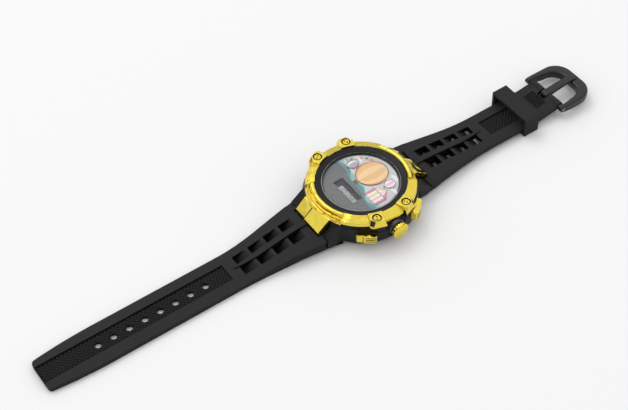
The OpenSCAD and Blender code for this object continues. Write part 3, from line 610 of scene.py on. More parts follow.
# Dial
# A disc of card, slate grey round the display, with a bright picture of balloons over hills printed
# on the rest in flat inks; each ink lies a hair above the one before it.
card_colour = (0.135, 0.135, 0.142, 1.0)
card_round = 0.06
ink_step = 0.006
print_radius = 13.35
balloon_drop = 1.18
sky = (0.62, 0.62, 0.64, 1.0)
white = (0.86, 0.86, 0.86, 1.0)
peach = (0.84, 0.50, 0.22, 1.0)
light_peach = (0.90, 0.62, 0.34, 1.0)
orange = (0.82, 0.36, 0.13, 1.0)
pink = (0.75, 0.25, 0.35, 1.0)
pale_pink = (0.85, 0.52, 0.58, 1.0)
teal = (0.10, 0.27, 0.28, 1.0)
pale_teal = (0.30, 0.48, 0.48, 1.0)
yellow = (0.86, 0.66, 0.22, 1.0)
brown = (0.20, 0.10, 0.05, 1.0)
ink_line = (0.07, 0.06, 0.07, 1.0)
dial_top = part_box("dial_card")[1].z


def shore(x):
    """Edge between the grey card and the picture."""
    return -2.6 - 0.15 * x + 0.45 * math.sin(0.55 * x)


def hill(rise, swell, pace, start):
    """A curve of hills over the shore."""
    return lambda x: shore(x) + rise + swell * math.sin(pace * x + start)


def disc(x, y, r, high=1.0):
    """Outline of a round or oval spot."""
    turns = [2 * math.pi * i / 40 for i in range(40)]
    return [(x + r * math.cos(t), y + r * high * math.sin(t)) for t in turns]


def between(low, high, steps=60):
    """Outline of the part of the dial between two curves."""
    columns = [print_radius * math.cos(math.pi * i / steps) for i in range(1, steps)]
    rims = [math.sqrt(print_radius ** 2 - x * x) for x in columns]
    top = [(x, max(-rim, min(rim, high(x)))) for x, rim in zip(columns, rims)]
    bottom = [(x, max(-rim, min(rim, low(x)))) for x, rim in zip(columns, rims)]
    kept = [i for i in range(len(columns)) if top[i][1] - bottom[i][1] > 0.01]
    return [top[i] for i in kept] + [bottom[i] for i in reversed(kept)]


def gore(x, y, r, left, right):
    """Outline of one cloth strip of a balloon, between two shares of its half width."""
    turns = [math.pi * i / 16 for i in range(17)]
    heights = [math.cos(t) * (1.0 if t < math.pi / 2 else balloon_drop) for t in turns]

    def side(share):
        """One seam of the balloon, from top to bottom."""
        return [(x + r * share * math.sin(t), y + r * high) for t, high in zip(turns, heights)]

    return side(left)[:-1] + side(right)[:0:-1]


def balloon(x, y, r, inks):
    """A balloon of cloth strips with a basket: (outline, ink) pairs."""
    shapes = [(disc(x, y - 0.08 * r, r * 1.035, 1.1), ink_line)]
    count = len(inks)
    edges = [math.sin(math.pi * (i / count - 0.5)) for i in range(count + 1)]
    shapes += [(gore(x, y, r, edges[i], edges[i + 1]), inks[i]) for i in range(count)]
    rim = y - (balloon_drop + 0.1) * r
    floor = y - (balloon_drop + 0.36) * r
    half = 0.17 * r
    basket = [(x - half, floor), (x + half, floor), (x + half * 1.2, rim), (x - half * 1.2, rim)]
    return shapes + [(basket, brown)]


def cloud(x, y, r):
    """A cloud of four puffs."""
    puffs = ((-1.2, 0.0, 0.75), (-0.35, 0.35, 1.0), (0.6, 0.25, 0.85), (1.35, -0.05, 0.65))
    return [(disc(x + dx * r, y + dy * r, r * size, 0.8), white) for dx, dy, size in puffs]


def pavilion(left, right, foot, eaves, peak, inks):
    """A striped tent: upright strips of cloth under a roof of the same strips, drawn to a point."""
    count = len(inks)
    edges = [left + (right - left) * i / count for i in range(count + 1)]
    middle = (left + right) / 2
    out = 0.15
    shapes = [([(left - out, foot - 0.1), (right + out, foot - 0.1), (right + out, eaves),
                (middle, peak + 0.2), (left - out, eaves)], ink_line)]
    for i, ink in enumerate(inks):
        near = edges[i]
        far = edges[i + 1]
        shapes.append((rectangle(near, far, foot, eaves - 0.2), ink))
        shapes.append(([(near, eaves), (far, eaves), (middle + 0.1, peak)], inks[(i + 1) % count]))
    return shapes


def pennant(x, y, ink):
    """A small three-cornered flag."""
    return [(x - 0.35, y - 0.75), (x + 0.45, y + 0.55), (x + 1.0, y - 0.65)], ink


picture = [(between(shore, lambda x: print_radius), sky)]
picture += [(between(shore, hill(2.3, 0.9, 0.42, 2.2)), pale_teal)]
picture += [(between(shore, hill(1.2, 0.6, 0.6, 0.4)), teal)]
picture += cloud(5.4, 10.9, 1.0) + cloud(10.3, 7.0, 0.9) + cloud(-9.6, 6.2, 0.9)
picture += pavilion(5.0, 11.6, -2.2, 2.4, 5.2, (pink, white, yellow, white, pale_pink, white, pink))
picture += balloon(-1.3, 6.2, 5.5, (orange, peach, light_peach, peach, light_peach, orange))
picture += balloon(6.6, 8.0, 1.9, (pink, white, pale_pink, white, pink))
picture += balloon(-8.9, 3.0, 2.0, (teal, white, pale_teal, pink, teal))
picture += [pennant(-12.2, 2.6, pink), pennant(-11.7, 4.2, teal), pennant(-10.9, 5.8, yellow)]
picture += [pennant(-9.9, 7.3, pink), pennant(-8.6, 8.8, teal), pennant(-7.1, 10.0, orange)]

print_mesh = flat_mesh("dial_print", [
    (outline, dial_top + ink_step * (layer + 1) * MM) for layer, (outline, ink) in enumerate(picture)])
ink_layer = print_mesh.color_attributes.new("ink", "FLOAT_COLOR", "CORNER")
for face, (outline, ink) in zip(print_mesh.polygons, picture):
    for corner in face.loop_indices:
        ink_layer.data[corner].color = ink
print_finish = moulded_finish("dial_ink", white, white, 0.42, grain=0.12, mottle=0.12, bump=0.04)
tree = print_finish.node_tree
ink_node = add_node(tree, "ShaderNodeAttribute", {}, attribute_name="ink")
fill(tree, tree.nodes["surface"], {"Colour": ink_node.outputs["Color"]})
add_piece("dial_print", print_mesh, print_finish, "case")
card_finish = moulded_finish("dial_card", card_colour, paler(card_colour, 1.2), 0.45, grain=0.15, bump=0.05)
moulded_copy("dial_disc", "dial_card", card_finish, card_round)

# Case body
# The black barrel with its lugs and the broad sloping collar round the lens: one moulding in glossy
# plastic, a little duller and finely scuffed on its sides.
case_colour = (0.010, 0.010, 0.011, 1.0)
case_round = 0.25
case_finish = moulded_finish(
    "case_plastic", case_colour, paler(case_colour, 3), 0.36, grain=0.25, wear_and_highlight_share=0.4, bump=0.08, gloss=0.2)
moulded_copy("case_barrel", "case_body", case_finish, case_round)

# Lens
# A clear disc of acrylic, flat on both sides and pressed into the collar of the case. A thin skin of
# pale matt grey on the chamfer of its upper edge is a painted highlight, so it shows as a pale rim.
lens_colour = (0.98, 0.99, 0.99, 1.0)
rim_highlight_colour = (0.36, 0.35, 0.36, 1.0)
lens_ior = 1.30
smear_scale = 0.2
haze_low = 0.01
haze_high = 0.05
lens_r = 14.38
lens_low = 10.75
lens_top = 11.9
lens_chamfer = 0.3
lens_low_chamfer = 0.1
lens_steps = 128
edge_skin = 0.03


def lathe(name, outline, steps):
    """A closed turned mesh from (radius, height) points in millimetres."""
    work = bmesh.new()
    points = [work.verts.new((r * MM, 0.0, z * MM)) for r, z in outline]
    chain = [work.edges.new(pair) for pair in zip(points, points[1:])]
    bmesh.ops.spin(
        work, geom=points + chain, cent=(0, 0, 0), axis=(0, 0, 1), angle=2 * math.pi, steps=steps)
    bmesh.ops.remove_doubles(work, verts=work.verts, dist=merge_distance)
    bmesh.ops.recalc_face_normals(work, faces=work.faces)
    mesh = mesh_of(name, work)
    mesh.shade_smooth()
    mesh.set_sharp_from_angle(angle=smooth_angle)
    return mesh


lens_finish, tree, shader, place = new_finish("clear_lens")
smears = add_node(tree, "ShaderNodeTexNoise", {"Vector": place, "Scale": smear_scale, "Detail": 4.0})
haze = add_node(tree, "ShaderNodeMapRange", {
    "Value": smears.outputs["Fac"], "To Min": haze_low, "To Max": haze_high})
fill(tree, shader, {
    "Base Color": lens_colour,
    "Transmission Weight": 1.0,
    "IOR": lens_ior,
    "Roughness": haze.outputs["Result"],
})
rays = add_node(tree, "ShaderNodeLightPath", {}).outputs
clear = add_node(tree, "ShaderNodeBsdfTransparent", {})
no_shadow = add_node(tree, "ShaderNodeMixShader", {
    "Fac": rays["Is Shadow Ray"], 1: shader.outputs["BSDF"], 2: clear.outputs["BSDF"]})
fill(tree, tree.nodes["Material Output"], {"Surface": no_shadow.outputs["Shader"]})
edge_low = lens_top - lens_chamfer
edge_in = lens_r - lens_chamfer
lens_mesh = lathe("lens_disc", [
    (0, lens_low), (lens_r - lens_low_chamfer, lens_low), (lens_r, lens_low + lens_low_chamfer),
    (lens_r, edge_low), (edge_in, lens_top), (0, lens_top)], lens_steps)
add_piece("lens_disc", lens_mesh, lens_finish, "case", node="lens")
# Painted highlight: a pale grey skin over the chamfer of the lens.
rim_highlight_finish = moulded_finish(
    "painted_rim_highlight", rim_highlight_colour, paler(rim_highlight_colour, 1.1), 0.5, grain=0.15, bump=0.05)
rim_highlight_mesh = lathe("lens_ground_edge", [
    (lens_r - edge_skin, edge_low), (lens_r, edge_low + edge_skin), (edge_in, lens_top + edge_skin),
    (edge_in - edge_skin, lens_top), (lens_r - edge_skin, edge_low)], lens_steps)
add_piece("lens_ground_edge", rim_highlight_mesh, rim_highlight_finish, "case")

# Bezel
# One gold-plated plastic moulding: polished rings and stepped flanges at 6 and 12 o'clock, a band with
# fine straight brush lines between them, four screw bosses and a link over each strap root.
gold_colour = (0.80, 0.63, 0.085, 1.0)
# The paler gold on rounded edges is partly rubbing and partly a painted highlight.
gold_wear_and_highlight = (0.93, 0.76, 0.20, 1.0)
# Painted shade: black for the boss pockets on the crown's side, the grooves between the link leaves, and
# the grooves and holes of the screws and pushers.
pocket_colour = (0.008, 0.008, 0.008, 1.0)
polished_rough = 0.10
brushed_rough = 0.22
bezel_line_turn = math.radians(-56)
bezel_line_size = 0.36
line_stretch = 0.05
line_height = 0.09 * MM
wave_size = 2.6
wave_height = 0.24 * MM
bezel_round = 0.18
flange_half_turn = 33.5
band_top = 12.6
boss_turn = math.radians(19.4)
boss_out = 21.1
boss_half = 2.6
boss_cut = 2.0
boss_lean = math.radians(27)
boss_top = 13.1
pocket_deep = 0.52
pocket_edge = 0.03
pocket_half = 0.86
pocket_ends = (-2.45, -0.38)
pocket_middle = boss_cut / math.sqrt(2)
link_start = 20.2
link_top = 9.0
link_groove = [(20.25, 8.70), (23.0, 6.05), (23.6, 5.2), (24.5, 5.2), (24.5, 9.5), (20.25, 9.5)]
groove_sides = (-2.10, -1.19)


def brushed_lines_group():
    """The height of fine parallel lines along X."""
    tree, given, result = new_tree("brushed_lines", "ShaderNodeTree", {
        "Vector": "Vector", "Line Size": "Float"}, {"Lines": "Float"})
    stretched = add_node(tree, "ShaderNodeVectorMath", {
        0: given["Vector"], 1: (line_stretch, 1.0, 1.0)}, operation="MULTIPLY")
    sized = add_node(tree, "ShaderNodeVectorMath", {
        0: stretched.outputs["Vector"], "Scale": reckon(tree, "DIVIDE", 1.0, given["Line Size"]),
    }, operation="SCALE")
    lines = add_node(tree, "ShaderNodeTexNoise", {
        "Vector": sized.outputs["Vector"], "Scale": 1.0, "Detail": 2.0})
    fill(tree, result, {"Lines": lines.outputs["Fac"]})
    return tree


brushed_lines = brushed_lines_group()


def gold_finish(name, line_turn, line_size):
    """Gold plating: polished, but brushed where the attribute says so, and black painted shade in its
    recesses.
    """
    finish = moulded_finish(
        name, gold_colour, gold_wear_and_highlight, polished_rough, grain=0.9, mottle=0.06, wear_and_highlight_share=0.5, bump=0.004)
    tree = finish.node_tree
    surface = tree.nodes["surface"]
    place = surface.inputs["Vector"].links[0].from_socket
    turned = add_node(tree, "ShaderNodeMapping", {"Vector": place, "Rotation": (0.0, 0.0, line_turn)})
    lines = add_node(tree, "ShaderNodeGroup", {
        "Vector": turned.outputs["Vector"], "Line Size": line_size}, node_tree=brushed_lines)
    brushed = marked(tree, "brushed")
    rough = add_node(tree, "ShaderNodeMapRange", {
        "Value": brushed, "To Min": polished_rough, "To Max": brushed_rough})
    fill(tree, surface, {"Roughness": rough.outputs["Result"]})
    waves = add_node(tree, "ShaderNodeTexNoise", {"Vector": place, "Scale": 1 / wave_size, "Detail": 0.0})
    wave_relief = add_node(tree, "ShaderNodeBump", {
        "Height": waves.outputs["Fac"], "Strength": 1.0, "Distance": wave_height,
        "Normal": tree.nodes["relief"].outputs["Normal"]})
    line_relief = add_node(tree, "ShaderNodeBump", {
        "Height": reckon(tree, "MULTIPLY", brushed, lines.outputs["Lines"]),
        "Strength": 1.0, "Distance": line_height, "Normal": wave_relief.outputs["Normal"]})
    # Recess faces take the black painted shade and lose their metal.
    pocket = marked(tree, "pocket")
    fill(tree, tree.nodes["Principled BSDF"], {
        "Base Color": mixed(tree, pocket, surface.outputs["Colour"], pocket_colour),
        "Metallic": reckon(tree, "SUBTRACT", 1.0, pocket),
        "Normal": line_relief.outputs["Normal"],
    })
    return finish


def mark_faces(mesh, name, test):
    """Notes in an attribute which faces pass a test of their centre, in millimetres, and their normal."""
    passed = [float(test(face.center / MM, face.normal)) for face in mesh.polygons]
    mesh.attributes.new(name, "FLOAT", "FACE").data.foreach_set("value", passed)


corner_place = Matrix.Translation((boss_out, boss_half - boss_cut, boss_top))
corner_axes = corner_place @ Matrix.Rotation(math.radians(45), 4, "Z") @ Matrix.Rotation(-boss_lean, 4, "Y")
into_corner = (Matrix.Rotation(boss_turn, 4, "Z") @ corner_axes).inverted()


def in_painted_shade(centre, normal):
    """Faces that get a black painted shade: those in the boss pockets on the crown's side, and those in the
    groove between the leaves of a link.
    """
    spot = into_corner @ Vector((abs(centre.x), abs(centre.y), centre.z))
    across = centre.x > 0 and abs(spot.y - pocket_middle) < pocket_half
    in_pocket = -pocket_deep < spot.x < -pocket_edge and pocket_ends[0] < spot.z < pocket_ends[1]
    in_groove = groove_sides[0] < centre.x < groove_sides[1] and abs(centre.y) > link_start
    return (across and in_pocket) or (in_groove and centre.z < link_top)


def on_brushed_band(centre, normal):
    """Upper faces of the band between the polished flanges."""
    turn = math.degrees(math.atan2(abs(centre.x), abs(centre.y)))
    return turn > flange_half_turn and normal.z > 0.4 and centre.z < band_top


def skinned_mesh(name, bodies):
    """A mesh of closed bodies, each a row of rings of points in millimetres."""
    work = bmesh.new()
    for body in bodies:
        rings = [[work.verts.new((x * MM, y * MM, z * MM)) for x, y, z in ring] for ring in body]
        for ring, following in zip(rings, rings[1:]):
            for i in range(len(ring)):
                j = (i + 1) % len(ring)
                work.faces.new((ring[i], ring[j], following[j], following[i]))
        work.faces.new(rings[0])
        work.faces.new(rings[-1])
    bmesh.ops.recalc_face_normals(work, faces=work.faces)
    return mesh_of(name, work)


def prism_mesh(name, prisms):
    """Prisms along X between two places, each from an outline of (Y, Z) in millimetres."""
    bodies = []
    for start, end, outline in prisms:
        bodies.append([[(x, y, z) for y, z in outline] for x in (start, end)])
    return skinned_mesh(name, bodies)


# Grooves cut between the leaves of each link, whose faces carry a black painted shade.
link_grooves = prism_mesh("link_grooves", [
    (*groove_sides, [(way * y, z) for y, z in link_groove]) for way in (1, -1)])
bezel_finish = gold_finish("plated_gold", bezel_line_turn, bezel_line_size)
bezel = moulded_copy(
    "bezel_ring", "bezel", bezel_finish, bezel_round, cutters=[link_grooves])
mark_faces(bezel.data, "pocket", in_painted_shade)
mark_faces(bezel.data, "brushed", on_brushed_band)

# Bezel screws
# Four gold-plated screws with flat round heads, a turned groove near the rim and two spanner holes;
# one is turned on a lathe and set on the four bosses, each at its own angle.
head_r = 1.6
head_top = 12.93
head_low = 11.97
head_chamfer = 0.1
groove_r = 1.24
groove_out = 1.57
groove_low = 12.30
groove_chamfer = 0.08
groove_shade = 0.2
head_rise = 0.06
hole_r = 0.27
hole_out = 0.58
hole_deep = 0.45
screw_ring = 19.1
screw_steps = 40
drill_steps = 16
screw_line_size = 0.12
screw_seed = 4


def turned_about(tree, axis, angle):
    """A rotation about one axis."""
    euler = add_node(tree, "ShaderNodeCombineXYZ", {axis: angle}).outputs["Vector"]
    return add_node(tree, "FunctionNodeEulerToRotation", {"Euler": euler}).outputs["Rotation"]


def set_on_points(tree, points, form, rotation, finish):
    """One form set on every point, all made one mesh with one material."""
    placed = add_node(tree, "GeometryNodeInstanceOnPoints", {
        "Points": points, "Instance": form, "Rotation": rotation})
    whole = add_node(tree, "GeometryNodeRealizeInstances", {"Geometry": placed.outputs["Instances"]})
    painted = add_node(tree, "GeometryNodeSetMaterial", {
        "Geometry": whole.outputs["Geometry"], "Material": finish})
    return painted.outputs["Geometry"]


def fastener_tree():
    """Sets one fastener on each corner of a rectangle, turned at random."""
    tree, given, result = new_tree("bezel_fasteners", "GeometryNodeTree", {
        "Across": "Float", "Along": "Float", "Seed": "Int", "Fastener": "Object", "Finish": "Material",
    }, {"Geometry": "Geometry"})
    corners = add_node(tree, "GeometryNodeMeshGrid", {
        "Size X": given["Across"], "Size Y": given["Along"], "Vertices X": 2, "Vertices Y": 2})
    fastener = add_node(tree, "GeometryNodeObjectInfo", {"Object": given["Fastener"]})
    turn = add_node(tree, "FunctionNodeRandomValue", {3: math.pi, "Seed": given["Seed"]}, data_type="FLOAT")
    rotation = turned_about(tree, "Z", turn.outputs[1])
    fill(tree, result, {"Geometry": set_on_points(
        tree, corners.outputs["Mesh"], fastener.outputs["Geometry"], rotation, given["Finish"])})
    return tree


def run_tree(piece, tree, values):
    """Runs a tree on a piece with its named inputs, and keeps the plain mesh that it makes."""
    step = piece.modifiers.new(tree.name, "NODES")
    step.node_group = tree
    for socket in tree.interface.items_tree:
        if socket.in_out == "INPUT" and socket.name in values:
            step[socket.identifier] = values[socket.name]
    settle(piece)
    piece.data.materials.clear()
    piece.data.materials.append(values["Finish"])
    for face in piece.data.polygons:
        face.material_index = 0


one_screw = linked("one_bezel_screw", lathe("one_bezel_screw", [
    (0, head_low), (head_r - head_chamfer, head_low), (head_r, head_low + head_chamfer),
    (head_r, groove_low), (groove_r, groove_low), (groove_r, head_top - groove_chamfer),
    (groove_r - groove_chamfer, head_top), (0.6 * groove_r, head_top + 0.6 * head_rise),
    (0, head_top + head_rise)], screw_steps))
drill_sides = rectangle(0, hole_r, head_top - hole_deep, head_top + 1)
for side in (-1, 1):
    drill = lathe("spanner_drill", drill_sides, drill_steps)
    drill.transform(Matrix.Translation((side * hole_out * MM, 0, 0)))
    cut_away(one_screw, drill)


def in_screw_groove(centre, normal):
    """Faces of the turned groove and of the spanner holes, which get a black painted shade."""
    radius = math.hypot(centre.x, centre.y)
    sunk = centre.z < head_top - groove_shade
    groove = groove_r < radius < groove_out and sunk
    hole = radius < groove_r and normal.z < 0.3 and centre.z > head_low + head_chamfer
    floor = radius < groove_r and normal.z > 0.3 and sunk
    return groove or hole or floor


mark_faces(one_screw.data, "pocket", in_screw_groove)
bezel_screws = linked("bezel_screw_set", bpy.data.meshes.new("bezel_screw_set"))
run_tree(bezel_screws, fastener_tree(), {
    "Across": 2 * screw_ring * math.cos(boss_turn) * MM,
    "Along": 2 * screw_ring * math.sin(boss_turn) * MM,
    "Seed": screw_seed,
    "Fastener": one_screw,
    "Finish": gold_finish("screw_gold", 0.0, screw_line_size),
})
bpy.data.objects.remove(one_screw)
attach(bezel_screws, "case")
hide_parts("bezel_screws")

# Crown and pushers
# Three gold-plated press buttons: a domed and fluted crown on a smoked collar, and two pushers with
# grooved ends. Steel rings on their stems keep them in the case.
collar_colour = (0.06, 0.06, 0.066, 1.0)
crown_back = 22.5
crown_front = 24.3
crown_r = 3.2
crown_z = 6.7
crown_chamfer = 0.25
dome_rise = 0.25
dome_steps = 8
rim_back = 0.75
rim_front = 0.5
rim_steps = ((0.18, 0.36), (0.32, 0.27))
flute_count = 18
flute_depth = 0.34
flute_in = 0.4
flute_start = 0.55
flute_fade = 1.0
collar_back = 20.4
collar_front = 21.65
collar_r = 3.1
collar_chamfer = 0.25
stem_end = 13.9
stem_r = 0.9
stem_play = 0.1
ring_groove = (14.7, 15.3)
ring_groove_r = 0.6
turned_steps = 144
button_line_size = 0.2
pusher_round = 0.10
pusher_turn = math.radians(38)
pusher_face = 22.8
pusher_middle_z = 6.1
pusher_rows = 0.85
groove_half = 0.24
groove_depth = 0.4
groove_lip = 0.04
groove_floor = 0.3
button_gold = gold_finish("button_gold", 0.0, button_line_size)
onto_crown_axis = Matrix.Translation((0, 0, crown_z * MM)) @ Matrix.Rotation(math.pi / 2, 4, "Y")


def way_along(place, first, last):
    """Share of the way from a first place to a last, kept between 0 and 1."""
    return min(1.0, max(0.0, (place - first) / (last - first)))


def turned_on_axis(name, outline, finish, node, flutes):
    """A piece turned about the crown's axis; any flutes in its rim run out towards its face."""
    mesh = lathe(name, outline, turned_steps)
    flute_end = crown_front - flute_start
    for corner in mesh.vertices:
        radius = math.hypot(corner.co.x, corner.co.y)
        if flutes and radius > (crown_r - flute_in) * MM:
            wave = max(0.0, math.cos(flutes * math.atan2(corner.co.y, corner.co.x))) ** 2
            behind_face = way_along(corner.co.z / MM, flute_end, flute_end - flute_fade)
            corner.co.xy *= 1 - flute_depth * MM * wave * behind_face / radius
    mesh.transform(onto_crown_axis)
    add_piece(name, mesh, finish, frame["nodes"][node]["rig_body"], node=node)


dome = [(crown_r - inwards, crown_front - back) for inwards, back in rim_steps]
for i in range(dome_steps, 0, -1):
    share = i / dome_steps
    dome.append(((crown_r - flute_in) * share, crown_front - dome_rise * share ** 2))
turned_on_axis("crown_dome", [
    (0, stem_end), (stem_r, stem_end), (stem_r, ring_groove[0]), (ring_groove_r, ring_groove[0]),
    (ring_groove_r, ring_groove[1]), (stem_r, ring_groove[1]), (stem_r, crown_back),
    (crown_r - crown_chamfer, crown_back), (crown_r, crown_back + crown_chamfer),
    (crown_r, crown_back + rim_back), (crown_r, crown_front - rim_front), *dome, (0, crown_front)],
    button_gold, "crown_cap", flute_count)


def in_push_groove(centre, normal):
    """Faces inside the three grooves of a pusher's end, which get a black painted shade."""
    outwards = centre.x * math.cos(pusher_turn) + abs(centre.y) * math.sin(pusher_turn)
    row = (centre.z - pusher_middle_z) / pusher_rows
    in_row = abs(row - round(row)) * pusher_rows < groove_half and abs(row) < 1.4
    sunk = pusher_face - groove_depth < outwards < pusher_face - groove_lip
    wall = abs(normal.z) > 0.7
    floor = abs(normal.z) < 0.1 and outwards < pusher_face - groove_floor
    return in_row and sunk and (wall or floor)


for name, node in (("upper_push_piece", "upper_pusher"), ("lower_push_piece", "lower_pusher")):
    pusher = moulded_copy(name, node, button_gold, pusher_round)
    mark_faces(pusher.data, "pocket", in_push_groove)
collar_finish = moulded_finish("smoked_collar", collar_colour, paler(collar_colour, 2), 0.25)
collar_in = stem_r + stem_play
turned_on_axis("crown_seat", [
    (collar_in, collar_back), (collar_r, collar_back), (collar_r, collar_front - collar_chamfer),
    (collar_r - collar_chamfer, collar_front), (collar_in, collar_front), (collar_in, collar_back)],
    collar_finish, "crown_collar", 0)
for node in ("crown_clip", "upper_clip", "lower_clip"):
    dress_node(node, screw_finish)

# Spring bars
# Thin steel bars that hold the strap halves: each runs through a strap root, its ends stand in holes
# of two lugs, and the strap half swings on it.
for node in ("spring_bar_12", "spring_bar_6"):
    dress_node(node, screw_finish)

# Strap halves
# Two mouldings in soft black vinyl, each hung on a spring bar: smooth sloping bands beside a rib with
# scooped windows, sunk panels filled with a fine diamond pattern that was cut into the mould, and thin
# webs in the last windows of one half. Painted shade darkens the windows, the webs, the sides of the
# rib, the walls of the holes and panels and the panel floors, and a sheet under the tongue stands in
# for the shadow there.
vinyl_colour = (0.027, 0.027, 0.029, 1.0)
# Painted shade for the floors of the sunk panels between the diamonds.
panel_floor_shade_colour = (0.005, 0.005, 0.0054, 1.0)
diamond_colour = (0.030, 0.030, 0.032, 1.0)
# Painted shade for the walls and ramps of the cuts and the sides of the rib.
window_colour = (0.004, 0.004, 0.0045, 1.0)
vinyl_skin = {"grain": 0.22, "mottle": 0.2, "bump": 0.10, "gloss": 0.08}
strap_round = 0.25
hole_low = 0.0
buckle_low = 1.3
strap_thick = 2.3
root_y = 24.45
root_top = 5.6
root_low = 1.2
root_half = 11.4
low_end = 44.0
field_end = 56.0
waist_y = 58.0
waist_half = 8.2
cut_top = 8.0
cut_low = -1.0
rib_start = root_y + 0.15
rib_end = 55.0
rib_past = 0.75
rib_half = 1.25
rib_tip_half = 0.4
rib_taper = 9.0
rib_rise = 0.45
rib_root_rise = 0.45
rib_tip = rib_end + 1
rib_tip_fall = 1.2
rib_draft = 0.1
rib_edge = 0.12
rib_sunk = 0.85
rib_steps = 32
rib_sharp = math.radians(25)
window_count = 4
window_first = 27.85
window_pitch = 6.6
window_length = 5.2
window_foot = 4.16
window_lead = 0.35
window_out = 4.45
window_spread = 0.35
window_over = 0.1
window_under_rib = 0.15
ramp_over = 0.4
last_window = window_first + (window_count - 1) * window_pitch
hole_radius = 1.22
hole_count = 8
hole_first = 66.6
hole_pitch = 6.06
hole_steps = 28
joint_start = 26.5
hole_joint_end = 112.0
buckle_joint_end = 64.0
joint_share = 0.34
joint_in = 0.12
joint_out = 0.05
joint_half = 0.1
joint_flat = 0.04
joint_steps = 40
panel_half = 3.75
panel_play = 0.02
panel_start = 57.6
hole_panel_end = 130.6
hole_panel_past = 2.0
hole_panel_z = 1.45
buckle_panel_end = 76.0
buckle_panel_past = 0.07
buckle_panel_z = 2.75
pivot_y = 87.6
end_start = 76.05
end_rise = 1.5
end_slope = end_rise / (pivot_y - end_start)
end_panel = (79.9, 84.3)
end_panel_z = 3.1
diamond_pitch = 1.5
diamond_fill = 0.86
diamond_top = 0.26
diamond_height = 0.42
hole_clear = hole_radius + 0.55
web_back = 0.5
web_gap = 0.45
web_low = 0.02
web_thin = 0.12
web_thick = 0.26
slot_half = 1.95
slot_shade_sheet = [(84.6, 2.46), (86.3, 2.40), (87.2, 2.10), (87.2, 2.40), (86.3, 2.72), (84.6, 2.85)]

vinyl_finish = moulded_finish("strap_vinyl", vinyl_colour, paler(vinyl_colour, 1.6), 0.5, **vinyl_skin)
panel_finish = moulded_finish("cut_vinyl", diamond_colour, paler(diamond_colour, 1.6), 0.55, **vinyl_skin)
tree = vinyl_finish.node_tree
# The vinyl takes painted shade on the panel floors and, growing with depth, in the cuts.
with_panel_shade = mixed(tree, marked(tree, "panel"), vinyl_colour, panel_floor_shade_colour)
fill(tree, tree.nodes["surface"], {
    "Colour": mixed(tree, marked(tree, "window"), with_panel_shade, window_colour)})


def eased(start, end, place, first, last):
    """A value that passes smoothly between two others along the strap."""
    return start + (end - start) * (1 - math.cos(math.pi * way_along(place, first, last))) / 2


def top_at(place, low):
    """Height of the upper side of a strap half."""
    return eased(root_top, low + strap_thick, place, root_y, field_end)


def under_at(place, low):
    """Height of the underside of a strap half."""
    return eased(root_low, low, place, root_y, low_end)


def root_share(place):
    """How much of the extra width at the root is left."""
    return (1 - way_along(place, root_y, waist_y)) ** 2


def rib_side(place):
    """Half width of the middle rib."""
    return rib_tip_half + (rib_half - rib_tip_half) * way_along(place, rib_end, rib_end - rib_taper)


def window_side(place):
    """Outer side of the windows."""
    return window_out + window_spread * (root_half - waist_half) * root_share(place)


def louvres(name, low, way, holes):
    """What is cut from a strap half: the windows with long ramps up to the rib, and the holes."""
    prisms = []
    for i in range(window_count):
        near = window_first + window_pitch * i
        start = near - window_lead
        foot = near + window_foot
        far = near + window_length
        top = top_at(start, low)
        floor = under_at(foot, low)
        rise = ramp_over * (top - floor) / (foot - start)
        outline = [(start - ramp_over, cut_top), (start - ramp_over, top + rise), (foot, floor),
                   (foot, cut_low), (far, cut_low), (far, cut_top)]
        outline = [(way * y, z) for y, z in outline]
        for side in (-1, 1):
            inner = side * (rib_side(far) - window_under_rib)
            prisms.append((inner, side * (window_side(far) + window_over), outline))
    work = bmesh.new()
    work.from_mesh(prism_mesh(name, prisms))
    for i in range(holes):
        bmesh.ops.create_cone(
            work, segments=hole_steps, cap_ends=True, radius1=hole_radius * MM, radius2=hole_radius * MM,
            depth=cut_top * MM, matrix=Matrix.Translation((0, way * (hole_first + i * hole_pitch) * MM, 0)))
    return mesh_of(name, work)


def raised_rib(name, body, low, way):
    """The middle rib of a strap half: a drafted bar that falls and narrows to a point."""
    rings = []
    for i in range(rib_steps + 1):
        place = rib_start + (rib_end + rib_past - rib_start) * i / rib_steps
        side = rib_side(place)
        surface = top_at(place, low)
        rise = rib_rise + rib_root_rise * (rib_end - place) / (rib_end - root_y)
        rise *= way_along(place, rib_tip, rib_tip - rib_tip_fall)
        deep = rib_sunk * (surface - under_at(place, low))
        shoulder = side - rib_draft
        crest = shoulder - rib_edge
        half = [(side, -deep), (side, 0.0), (shoulder, rise - rib_edge), (crest, rise)]
        section = [(-x, z) for x, z in half] + half[::-1]
        rings.append([(x, way * place, surface + z) for x, z in section])
    mesh = skinned_mesh(name, [rings])
    mesh.shade_smooth()
    mesh.set_sharp_from_angle(angle=rib_sharp)
    # The upright sides of the rib get a full painted shade.
    mark_faces(mesh, "window", lambda centre, normal: abs(normal.x) > 0.9)
    add_piece(name, mesh, vinyl_finish, body)


def mould_line(name, body, low, way, end):
    """The fine line that the joint of the mould leaves along both sides of a strap half."""
    sides = ([], [])
    for i in range(joint_steps + 1):
        place = joint_start + (end - joint_start) * i / joint_steps
        x = waist_half + (root_half - waist_half) * root_share(place)
        under = under_at(place, low)
        z = under + joint_share * (top_at(place, low) - under)
        section = [(x - joint_in, z - joint_half), (x + joint_out, z - joint_flat),
                   (x + joint_out, z + joint_flat), (x - joint_in, z + joint_half)]
        for rings, side in zip(sides, (-1, 1)):
            rings.append([(side * across, way * place, high) for across, high in section])
    add_piece(name, skinned_mesh(name, sides), vinyl_finish, body)


def panel_cut(name, start, end, floor):
    """What is cut from a strap half to sink a panel."""
    side = panel_half + panel_play
    return prism_mesh(name, [(-side, side, rectangle(start, end, floor, cut_top))])


